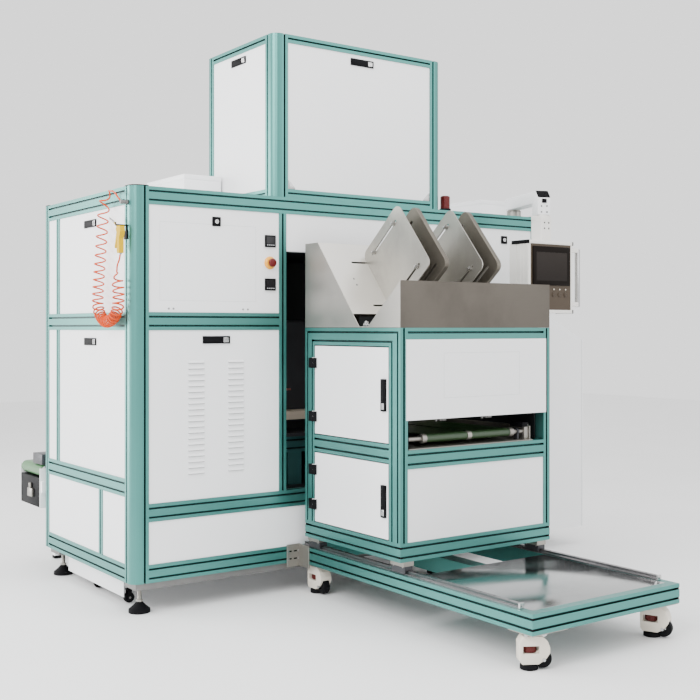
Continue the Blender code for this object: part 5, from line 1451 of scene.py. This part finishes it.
@dataclass
class RailBase:
    """The low base that the loader rides on."""

    left: float = 0.87
    width: float = 0.845
    length: float = 1.5775
    level: float = 0.144
    inset: float = 0.062
    deck_back: float = 0.73

    def frame(self) -> None:
        """The slotted ring, its inner bars, the deck and the corner plates."""
        w, length, p, t = self.width, self.length - 0.0013, 0.08, 0.04
        place = put(self.left, -self.length, self.level)
        made = Shape(place).ring(w, length, 0.0, p, t)
        under, middle, back = p - 0.0045, w / 2, self.deck_back
        made.bar((middle - p / 2, t, 0), (middle + p / 2, length - t, under), "Y")
        for x0, x1 in ((t, middle - p / 2), (middle + p / 2, w - t)):
            made.bar((x0, back - p, 0), (x1, back, under), "X", ("+Y",))
        made.done("base_slotted_frame", TEAL, stands_for=("base_frame",))
        # black groove corner fillers: solid where the grooves meet, black as painted shade
        Shape(place).shaded_groove_corners(w, length, 0.0, p).done("base_groove_corner_shade", BLACK)
        Shape(place).box((t + 0.0006, t + 0.0006, under + 0.0002),
                         (w - t - 0.0006, back, p + 0.0003), 0.0008).done(
            "base_deck_sheet", MIRROR, stands_for=("base_deck",))
        plates = Shape(place)
        for x0, x1 in ((0.002, 0.19), (w - 0.19, w - 0.002)):
            for y0, y1 in ((0.002, 0.132), (length - 0.132, length - 0.002)):
                plates.box((x0, y0, -0.0042), (x1, y1, -0.0003), 0.0006, 1)
        plates.done("base_corner_plates", STEEL)

    def castor(self, name: str, x: float, y: float, heading: float) -> None:
        """Build one levelling castor: plate, cast body, dial, pad and wheel.

        Args:
            name: the castor's place.
            x: its place from the base's left.
            y: its place from the base's front.
            heading: which way its wheel points, in degrees.
        """
        place = (put(self.left + x, y - self.length, self.level)
                 @ turned("Z", heading))
        floor, top = -self.level, -0.0045
        wheel, lift, pad = 0.0355, 0.004, -0.014
        side = turned("X")
        hub = Matrix.Translation((0.036, 0, floor + lift + wheel)) @ side
        body = Shape(place).prism(
            [(-0.042, -0.016), (0.03, -0.016), (0.05, -0.034), (0.06, -0.06),
             (0.06, -0.08), (0.046, -0.1), (0.03, -0.112), (0.016, -0.121),
             (-0.046, -0.121), (-0.055, -0.108), (-0.056, -0.04)], -0.031, 0.031, 0.003, side)
        room = Shape(place).box((-0.044, -1, -0.08), (0.018, 1, -0.052))
        room.rod((0.036, -0.02, hub.translation.z), (0.036, 0.02, hub.translation.z),
                 wheel + 0.003, 36)
        body.cut(Shape(place).box((0.032, -0.02, -0.13), (0.09, 0.02, -0.088)))
        body.cut(room)
        body.rod((0, 0, -0.03), (0, 0, top - 0.006), 0.03, 40, rim=0.0015)
        body.rod((pad, 0, -0.1195), (pad, 0, floor + 0.017), 0.012, 20)
        body.done(name + "_body", IVORY, stands_for=(name,))
        Shape(place).lathe(tyre(0.012, ((0.0295, 0.0175), (0.034, 0.015)), 0.0355), steps=40,
                           local=hub).done(name + "_tyre", RUBBER)
        Shape(place).lathe(mirrored([(0, 0.0325), (0.0062, 0.0325), (0.0066, 0.0312)]), steps=20,
                           local=hub).done(name + "_axle", BRIGHT)
        dial = Shape(place).lathe([(0, -0.0535), (0.0235, -0.0535), (0.026, -0.0552),
                                   (0.026, -0.0768), (0.0235, -0.0785), (0, -0.0785)],
                                  (pad, 0, 0), 40)
        for count in range(20):
            angle = count * math.tau / 20
            spot = (pad + 0.0258 * math.cos(angle), 0.0258 * math.sin(angle))
            dial.rod((*spot, -0.0755), (*spot, -0.0565), 0.0015, 8)
        dial.done(name + "_dial", DIAL)
        Shape(place).lathe([(0, floor + 0.0215), (0.028, floor + 0.0215),
                            (0.034, floor + 0.017), (0.0344, floor + 0.0015),
                            (0.0325, floor + 0.0002), (0, floor + 0.0002)], (pad, 0, 0),
                           40).done(name + "_pad", RUBBER)
        plate = Shape(place)
        plate.box((-0.043, -0.043, top - 0.006), (0.043, 0.043, top), 0.0006, 1)
        for dx in (-0.034, 0.034):
            for dy in (-0.034, 0.034):
                plate.rod((dx, dy, top - 0.011), (dx, dy, top - 0.0055), 0.006, 6, rim=0.0006)
        plate.done(name + "_plate", BRIGHT)

    def brackets(self) -> None:
        """Slotted steel plates that join the base to the machine, with their bolts."""
        for name, x, side in (("left", self.left, -1), ("right", self.left + self.width, 1)):
            edge = x + side * 0.072
            x0, x1 = min(edge, x), max(edge, x)
            plate, slots, bolts = Shape(), Shape(), Shape()
            plate.box((x0 - 0.0004, -0.007, 0.1256), (x1 + 0.0004, -0.0008, 0.2324), 0.0008, 1)
            wrap = sorted((x - side * 0.001, x + side * 0.0066))
            plate.box((wrap[0], -0.093, 0.1262), (wrap[1], -0.0008, 0.2318), 0.0008, 1)
            face = Face.FRONT.placed(at(0, -0.007, 0))
            slots.place = bolts.place = face
            for z in (0.164, 0.2):
                for dx in (0.026, 0.056):
                    slots.box((x + side * dx - 0.009, z - 0.0035, 0.0), (x + side * dx + 0.009,
                              z + 0.0035, 0.0006), 0.0002, 1)
                for dx in (0.008, 0.066):
                    bolts.screw(x + side * dx, z, 0.0, 0.0055)
            plate.done(name + "_joining_plate", STEEL)
            slots.done(name + "_joining_slots", BLACK)
            bolts.done(name + "_joining_bolts", BRIGHT)

    def tracks(self) -> None:
        """End stops and hole plugs on the two tracks."""
        for name, x in (("left", self.left + 0.026), ("right", self.left + self.width - 0.026)):
            stop = Shape()
            y = -self.length + 0.09
            stop.box((x - 0.0118, y - 0.01, 0.2245), (x + 0.0118, y - 0.0005, 0.2462), 0.001, 1)
            stop.rod((x, y - 0.01, 0.235), (x, y - 0.014, 0.235), 0.004, 12)
            stop.done(name + "_track_stop", BRIGHT)
            plugs = Shape(Face.TOP.placed(at(x, 0, 0.2443)))
            for spot in rows(y + 0.06, -0.08, 18):
                plugs.rod((0, spot, -0.001), (0, spot, 0.0002), 0.0045, 16)
            plugs.done(name + "_track_plugs", GUNMETAL)

    def build(self) -> None:
        """Build the base's frame, castors, plates and track stops."""
        self.frame()
        coat(RAIL_STEEL, "left_track", "right_track")
        back = self.length - self.inset - 0.02
        for name, x, y, heading in (("front_left", self.inset, self.inset, -30.0),
                                    ("front_right", self.width - self.inset, 0.074, -65.0),
                                    ("back_left", self.inset, back, -90.0),
                                    ("back_right", self.width - self.inset, back, -110.0)):
            self.castor("castor_" + name, x, y, heading)
        self.brackets()
        self.tracks()


@dataclass
class Loader:
    """The bag loader's cabinet: frame, doors with hinges and latches, and its covers."""

    width: float = 0.892
    depth: float = 0.7356
    height: float = 0.9953
    hinge: Pair = (-0.0075, 0.6531)
    latch: float = 0.112
    doors: tuple[tuple[str, float, float], ...] = (
        ("loader_lower_door", 0.08, 0.4135), ("loader_upper_door", 0.4935, 0.9153))

    def place(self) -> Matrix:
        """The loader's own corner."""
        return put(*LOADER_CORNER)

    def frame(self) -> None:
        """The slotted frame: a ring below, side arches mitred like doors, middle rails."""
        w, d, h, p, t = self.width, self.depth, self.height, 0.08, 0.04
        side_rail, front_rail = 0.4135, 0.3927
        made = Shape(self.place()).ring(w, d, 0.0, p, t)
        front, back = (0, 0, h), (0, d, h)
        for x0, x1, side in ((0, t, "-X"), (w - t, w, "+X")):
            made.bar((x0, 0, p), (x1, p, h), "Z", (side, "-Y"), ((front, (0, 1, 1)),))
            made.bar((x0, d - p, p), (x1, d, h), "Z", (side, "+Y"), ((back, (0, -1, 1)),))
            made.bar((x0, 0, h - p), (x1, d, h), "Y", (side,),
                     ((front, (0, -1, -1)), (back, (0, 1, -1))))
            made.bar((x0, p, side_rail), (x1, d - p, side_rail + p), "Y", (side,))
        for y0, y1, side in ((0, t, "-Y"), (d - t, d, "+Y")):
            made.bar((t, y0, h - p), (w - t, y1, h), "X", (side,))
            made.bar((t, y0, front_rail), (w - t, y1, front_rail + p), "X", (side,))
        made.done("loader_slotted_frame", TEAL, "loader", stands_for=("loader_frame",))
        # black groove corner fillers: solid where the grooves meet, black as painted shade
        Shape(self.place()).shaded_groove_corners(w, d, 0.0, p).done("loader_groove_corner_shade", BLACK, "loader")

    def hinges(self) -> None:
        """Black hinges: a broad leaf on the post, a narrow one on the door, one knuckle."""
        x, y = self.hinge
        for door, low, high in self.doors:
            fixed, swung = Shape(self.place()), Shape(self.place())
            for z in (low + 0.085, high - 0.085):
                fixed.rod((x, y, z - 0.024), (x, y, z - 0.0002), 0.0069, 24, rim=0.0008)
                fixed.box((x - 0.004, y + 0.0004, z - 0.024), (-0.0001, y + 0.037, z + 0.024),
                          0.001)
                swung.rod((x, y, z + 0.0002), (x, y, z + 0.024), 0.0069, 24, rim=0.0008)
                swung.box((x - 0.004, y - 0.0184, z - 0.024), (-0.0001, y - 0.0004, z + 0.024),
                          0.001)
            fixed.done(door + "_fixed_hinges", BLACK, "loader")
            swung.done(door + "_swung_hinges", BLACK, door)

    def handles(self) -> None:
        """Upright black latches with bright key ends."""
        for door, low, high in self.doors:
            left, front, base = LOADER_CORNER
            centre = at(left, front + self.latch, base + (low + high) / 2)
            FlushLatch(0.139, 0.03, 0.01, True).build(door + "_latch", Face.LEFT, centre, door)

    def seams(self) -> None:
        """Rubber seals behind the doors' edges."""
        for door, low, high in self.doors:
            seal = Shape(self.place())
            y0, y1, z0, z1 = 0.0802, self.depth - 0.0802, low + 0.0002, high - 0.0002
            for spot in ((y0, y0 + 0.003), (y1 - 0.003, y1)):
                seal.box((0.008, spot[0], z0), (0.014, spot[1], z1))
            for spot in ((z0, z0 + 0.003), (z1 - 0.003, z1)):
                seal.box((0.008, y0, spot[0]), (0.014, y1, spot[1]))
            seal.done(door + "_seal", RUBBER, "loader")

    def bearings(self) -> None:
        """Bright mounting plates and bolts on the four carriages."""
        for name, x in (("left", 0.0445), ("right", 0.8375)):
            for end, y in (("front", 0.0), ("back", self.depth - 0.09)):
                plate = Shape(self.place())
                plate.box((x - 0.0284, y - 0.0004, -0.0199), (x + 0.0284, y + 0.0904, -0.0001),
                          0.0006, 1)
                for spot in (y + 0.014, y + 0.076):
                    for reach in (-0.02, 0.02):
                        plate.rod((x + reach, spot, -0.0199), (x + reach, spot, -0.0255), 0.0045,
                                  6, rim=0.0005)
                plate.done("carriage_plate_" + end + "_" + name, STEEL, "loader")

    def build(self) -> None:
        """Coat the loader's cabinet and fit its hardware."""
        self.frame()
        coat(WHITE, "loader_casing", "loader_front_cover", "loader_upper_door",
             "loader_lower_door")
        coat(GUNMETAL, "bearing_front_left", "bearing_front_right", "bearing_back_left",
             "bearing_back_right")
        self.hinges()
        self.handles()
        self.seams()
        self.bearings()
        Shape(self.place() @ Face.FRONT.placed(Vector((0, -0.006, 0)))).outline(
            (0.236, 0.69), (0.69, 0.886), 0.0008, -0.0003, 0.0003).done(
            "cover_border_line", LINE, "loader")


@dataclass
class Delivery:
    """The two delivery belts, their rollers and what carries them."""

    level: float = 0.5137
    setback: float = 0.048
    bearing_spots: tuple[float, ...] = (0.0665, 0.722)

    def build(self) -> None:
        """Coat the belts and bed, and fit bearings, the drive and the two sensors."""
        coat(STEEL, "delivery_bed")
        coat(GREEN, "left_delivery_belt", "right_delivery_belt")
        place = put(*LOADER_CORNER)
        blocks, drive = Shape(place), Shape(place)
        for x in self.bearing_spots:
            blocks.rod((x - 0.006, self.setback, self.level), (x + 0.006, self.setback,
                       self.level), 0.0165, 24, rim=0.001)
            blocks.box((x - 0.005, self.setback - 0.012, self.level - 0.036),
                       (x + 0.005, self.setback + 0.012, self.level - 0.01), 0.001, 1)
        blocks.done("delivery_bearings", GUNMETAL, "loader")
        drive.box((0.7555, 0.03, 0.477), (0.783, 0.095, 0.548), 0.003)
        drive.rod((0.756, self.setback, self.level), (0.788, self.setback, self.level), 0.013,
                  20, rim=0.001)
        drive.done("delivery_drive", STEEL, "loader")
        Shape(place).box((0.735, 0.02, 0.535), (0.77, 0.105, 0.556), 0.002).done(
            "delivery_guard", BLACK, "loader")
        eyes = Shape(place)
        for x in (0.25, 0.52):
            eyes.box((x - 0.03, 0.03, 0.586), (x - 0.022, 0.04, 0.5985), 0.001, 1)
            eyes.box((x - 0.006, 0.03, 0.588), (x + 0.03, 0.044, 0.5985), 0.001, 1)
            eyes.rod((x + 0.008, 0.03, 0.593), (x + 0.008, 0.026, 0.593), 0.004, 12)
        eyes.box((0.18, 0.034, 0.5985), (0.62, 0.044, 0.606), 0.001, 1)
        eyes.done("bag_sensors", DULL_STEEL, "loader")
        # near-black plates beside the belts: painted shade
        shade_plates = Shape(place)
        for x in (0.048, 0.836):
            shade_plates.box((x, 0.0455, 0.474), (x + 0.006, 0.69, 0.912))
        shade_plates.done("delivery_shadow_plates", SHADE_BLACK, "loader")


@dataclass
class Trough:
    """The stainless trough, its guide plates and their clamps."""

    width: float = 0.892
    run: float = 0.629
    back: float = 1.3941
    slope: float = 50.0
    drop: float = 0.068
    space: float = 0.105
    plate: float = 0.372
    slot_edge: float = 0.052

    def wall(self, x: float, down: float, out: float) -> Matrix:
        """A place on the far wall, its axes across, out of and down the wall.

        Args:
            x: how far from the trough's left end.
            down: how far down the wall from its top edge.
            out: how far out of the wall.
        Returns:
            The matrix of that place.
        """
        angle = math.radians(self.slope)
        y = self.run - down * math.cos(angle) - out * math.sin(angle)
        z = self.back - down * math.sin(angle) + out * math.cos(angle)
        across = Vector((1, 0, 0))
        outward = Vector((0, -math.sin(angle), math.cos(angle)))
        turn = Matrix((across, outward, across.cross(outward))).transposed().to_4x4()
        return put(*LOADER_CORNER) @ Matrix.Translation((x, y, z)) @ turn

    def clamps(self) -> None:
        """Studs, washers and wing nuts at the ends of the plates' slots."""
        for pair, centre in (("left", self.width / 2 - 0.159), ("right", self.width / 2 + 0.159)):
            studs, washers = Shape(Matrix.Identity(4)), Shape(Matrix.Identity(4))
            x0 = centre - self.space / 2
            for down in (self.drop + self.slot_edge, self.drop + self.plate - self.slot_edge):
                for out in (0.08, 0.27):
                    here = self.wall(x0, down, out)
                    across = here @ turned("Y")
                    studs.lathe([(0, -0.0215), (0.0048, -0.0215), (0.0048, 0.0105), (0, 0.0105)],
                                steps=12, local=across)
                    washers.lathe([(0.0048, -0.0068), (0.012, -0.0068), (0.012, -0.0032),
                                   (0.0048, -0.0032)], steps=20, local=across)
                    studs.box((-0.019, -0.012, -0.0022), (-0.0125, 0.012, 0.0022), 0.001, 1,
                              local=here)
            studs.done(pair + "_guide_studs", BRIGHT, "loader")
            washers.done(pair + "_guide_washers", STEEL, "loader")

    def rivets(self) -> None:
        """Rivets in the wall."""
        rivets = Shape(Matrix.Identity(4))
        for x in (0.105, 0.787):
            for down in (0.225, 0.262):
                rivets.lathe([(0, 0.0042), (0.0034, 0.0036), (0.005, 0.0016)], steps=14,
                             local=self.wall(x, down, 0.0) @ turned("X", -90.0))
        rivets.done("trough_rivets", DULL_STEEL, "loader")

    def throat(self) -> None:
        """Near-black sheets as painted shade in the throat under the trough, and the bright chain
        in it.
        """
        place = put(*LOADER_CORNER)
        tip_y, tip_z = 0.2713, 0.9678
        # painted shade: two near-black sheets in the throat
        dark = Shape(place)
        dark.box((0.042, tip_y - 0.08, 0.9), (self.width - 0.042, tip_y - 0.076, 1.02))
        dark.box((0.042, tip_y + 0.08, 0.9), (self.width - 0.042, tip_y + 0.084, 1.045))
        dark.done("throat_shade_sheets", SHADE_BLACK, "loader")
        chain = Shape(place)
        for count in range(5):
            y = tip_y - 0.02 + count * 0.009
            z = tip_z + 0.05 - abs(count - 2) * 0.01
            chain.rod((0.012, y, z), (0.03, y, z), 0.0055, 14, rim=0.0008)
            chain.rod((0.016, y, z), (0.02, y, z), 0.0085, 14, rim=0.0008)
        chain.done("throat_chain", BRIGHT, "loader")

    def build(self) -> None:
        """Coat the trough and its plates and fit the clamps."""
        coat(Glaring("trough_steel", "stainless", (0.112, 0.099, 0.084), 0.36, 0.85, smear=0.7),
             "trough")
        coat(Brushed("guide_plate_steel", "stainless", (0.4, 0.385, 0.35), 0.36, 0.85,
                     grain=(60.0, 1.0, 1.0), smear=0.8), "left_guide_plate", "right_guide_plate")
        coat(Brushed("padded_plate_steel", "stainless", (0.165, 0.148, 0.122), 0.42, 0.75,
                     grain=(60.0, 1.0, 1.0), smear=0.7), "left_padded_guide",
             "right_padded_guide")
        self.clamps()
        self.rivets()
        self.throat()


# Operator panel


@dataclass
class OperatorPanel:
    """The operator panel on its swivelling arm."""

    pivot: Pair = (2.362, 0.06)
    reach: float = 0.355
    angle: float = 250.0
    top: float = 1.737
    width: float = 0.33
    depth: float = 0.141
    height: float = 0.382
    column_half: float = 0.039
    arm_half: float = 0.037
    screw: float = 0.0042

    def head(self) -> Matrix:
        """The middle of the case's top."""
        x, y = self.pivot
        turn = math.radians(self.angle)
        return put(x + self.reach * math.cos(turn), y + self.reach * math.sin(turn), self.top)

    def case(self) -> None:
        """Cream rails with black caps, ribs, and the side handle with its brackets."""
        w, d, h, head = self.width / 2, self.depth / 2, self.height, self.head()
        rails, caps, sides, grips = (Shape(head) for _ in range(4))
        for z0, z1 in ((-0.0165, 0.0012), (-h - 0.0012, -h + 0.0165)):
            rails.box((-w - 0.0008, -d - 0.0035, z0), (w + 0.0008, -d + 0.06, z1), 0.0012)
            for side in (-1, 1):
                x0, x1 = sorted((side * (w - 0.004), side * (w + 0.0045)))
                caps.box((x0, -d - 0.0045, z0 - 0.001), (x1, d - 0.018, z1 + 0.001), 0.0015)
        rails.done("panel_rails", CREAM, "panel_head")
        caps.done("panel_corner_caps", BLACK, "panel_head")
        for side in (-1, 1):
            x0, x1 = sorted((side * (w - 0.001), side * (w + 0.0022)))
            for y0, y1 in ((-d + 0.002, -d + 0.014), (-d + 0.034, -d + 0.04),
                           (-d + 0.056, -d + 0.062)):
                sides.box((x0, y0, -h + 0.016), (x1, y1, -0.016), 0.001, 1)
        sides.done("panel_side_ribs", CREAM, "panel_head")
        for z in (-0.04, -h + 0.048):
            grips.box((w - 0.001, -d + 0.007, z - 0.0125), (w + 0.058, -d + 0.033, z + 0.0125),
                      0.004)
        grips.done("panel_handle_brackets", CREAM, "panel_head")
        Shape(head).box((w + 0.0495, -d + 0.0085, -h + 0.034),
                        (w + 0.0725, -d + 0.0315, -0.0325), 0.005).done(
            "panel_handle_bar", BRIGHT, "panel_head")

    def fascia(self) -> None:
        """Bezel, glass, lamps and buttons on the bronze fascia."""
        coat(BRONZE, "panel_fascia")
        face = self.head() @ Face.FRONT.placed(Vector((0, -self.depth / 2 - 0.0023, 0)))
        x0, x1, z1, z0 = -0.1379, 0.1379, -0.0298, -0.2352
        Shape(face).box((x0, z0, -0.001), (x1, z1, 0.0068), 0.0015).cut(
            Shape(face).box((x0 + 0.024, z0 + 0.024, -1), (x1 - 0.02, z1 - 0.03, 1))).done(
            "display_bezel", BEZEL, "panel_head")
        Shape(face).box((x0 + 0.023, z0 + 0.023, -0.001), (x1 - 0.019, z1 - 0.029, 0.006)).done(
            "display_glass", SCREEN, "panel_head")
        lamps, caps, rims = Shape(face), Shape(face), Shape(face)
        for x in (0.02, 0.064, 0.108):
            lamps.lathe([(0, 0.0042), (0.0028, 0.0038), (0.0042, 0.002), (0.0042, -0.001)],
                        (x, -0.256, 0), 20)
            rims.lathe([(0.0042, 0.0016), (0.006, 0.0016), (0.0064, -0.001)], (x, -0.256, 0), 24)
            rims.lathe([(0.0105, 0.003), (0.0128, 0.003), (0.0136, -0.001)], (x, -0.284, 0), 32)
            caps.lathe([(0, 0.0046), (0.0086, 0.0044), (0.0104, 0.0028), (0.0104, -0.001)],
                       (x, -0.284, 0), 32)
        lamps.done("panel_lamps", PEARL, "panel_head")
        caps.done("panel_button_caps", BROWN, "panel_head")
        rims.done("panel_button_rims", BRONZE, "panel_head")

    def column(self) -> None:
        """The top, the screws and the flared foot of the column."""
        head, half = self.head(), self.column_half
        Shape(head).box((-half, -half, 0.1), (half, half, 0.142), 0.005).done(
            "column_top", CREAM, "panel_head")
        Shape(head @ Face.FRONT.placed(Vector((0, -half, 0)))).screws(
            (-0.015, 0.017), (0.071, 0.101), self.screw).done(
            "column_screws", BLACK, "panel_head")
        Shape(head).lathe([(0.048, 0.0), (0.0475, 0.01), (0.0435, 0.034), (0.0405, 0.04),
                           (0.02, 0.04), (0.02, 0.0)], steps=4,
                          local=turned("Z", 45.0)).done("column_foot", CREAM, "panel_head")

    def arm(self) -> None:
        """The arm's box, the elbow's cap, catch and screws, and the clamp lever."""
        place = put(*self.pivot, 1.905) @ turned("Z", self.angle)
        lid, half = Shape(place), self.arm_half
        end, low, high, drop = self.reach + half, 0.04, 0.106, -0.0255
        Shape(place).prism([(-0.045, low), (self.reach - half, low), (self.reach - half, drop),
                            (end, drop), (end, high - 0.038), (end - 0.033, high),
                            (-0.045, high)], -half, half, 0.005,
                           turned("X")).rod(
            (0, 0, 0.0286), (0, 0, low + 0.001), 0.034, 32).done(
            "arm_box", WHITE, "panel_arm", stands_for=("panel_arm",))
        lean = Matrix.Translation((end - 0.0165, 0, 0.0868)) @ turned("Y", 49.0)
        lid.box((-0.0245, -0.035, -0.001), (0.0245, 0.035, 0.004), 0.0015, local=lean)
        for y in rows(-0.028, 0.028, 7):
            lid.box((-0.021, y - 0.0015, 0.0035), (0.021, y + 0.0015, 0.0055), 0.0006, 1,
                    local=lean)
        lid.done("elbow_cap", BLACK, "panel_arm")
        Shape(place).box((end - 0.004, -0.013, 0.039), (end + 0.006, 0.013, 0.061),
                         0.002).done("elbow_catch", BLACK, "panel_arm")
        Shape(place @ Face.RIGHT.placed(Vector((end, 0, 0)))).screws(
            (-0.016, 0.016), (-0.01, 0.022), self.screw).done(
            "elbow_screws", BLACK, "panel_arm")
        Shape(place @ Face.BACK.placed(Vector((0, half, 0)))).screws(
            (-end + 0.02, -end + 0.052), (-0.01, 0.022, 0.055), self.screw).done(
            "elbow_side_screws", BLACK, "panel_arm")
        Shape(place).rod((0.01, 0.0375, 0.075), (0.01, 0.056, 0.075), 0.007, 16,
                         rim=0.001).rod((0.01, 0.05, 0.075), (0.045, 0.056, 0.09), 0.0042,
                                        12, rim=0.001).done("arm_clamp_lever", BLACK, "panel_arm")
        Shape(place).lathe([(0.0345, 0.0395), (0.0345, 0.029), (0.04, 0.029),
                            (0.0412, 0.03), (0.0412, 0.033), (0.04, 0.034)],
                           steps=40).done("arm_swivel_ring", STEEL, "panel_arm")

    def build(self) -> None:
        """Coat the panel and fit everything on it."""
        coat(CREAM, "panel_case")
        coat(STEEL, "arm_foot")
        self.case()
        self.fascia()
        self.column()
        self.arm()


def main() -> None:
    """Build every sub-assembly in order."""
    logging.basicConfig(level=logging.INFO, format="%(message)s")
    studio = Studio()
    studio.set_camera()
    hose = AirHose()
    hose.build()
    studio.light()
    studio.floor()
    hose.dress()
    for assembly in (ControlDoor(), Cabinet(), UpperBox(), Interior(), Outfeed(), RailBase(),
                     Loader(), Delivery(), Trough(), OperatorPanel()):
        assembly.build()
        LOG.info("%s: done", type(assembly).__name__)


if __name__ == "__main__":
    main()
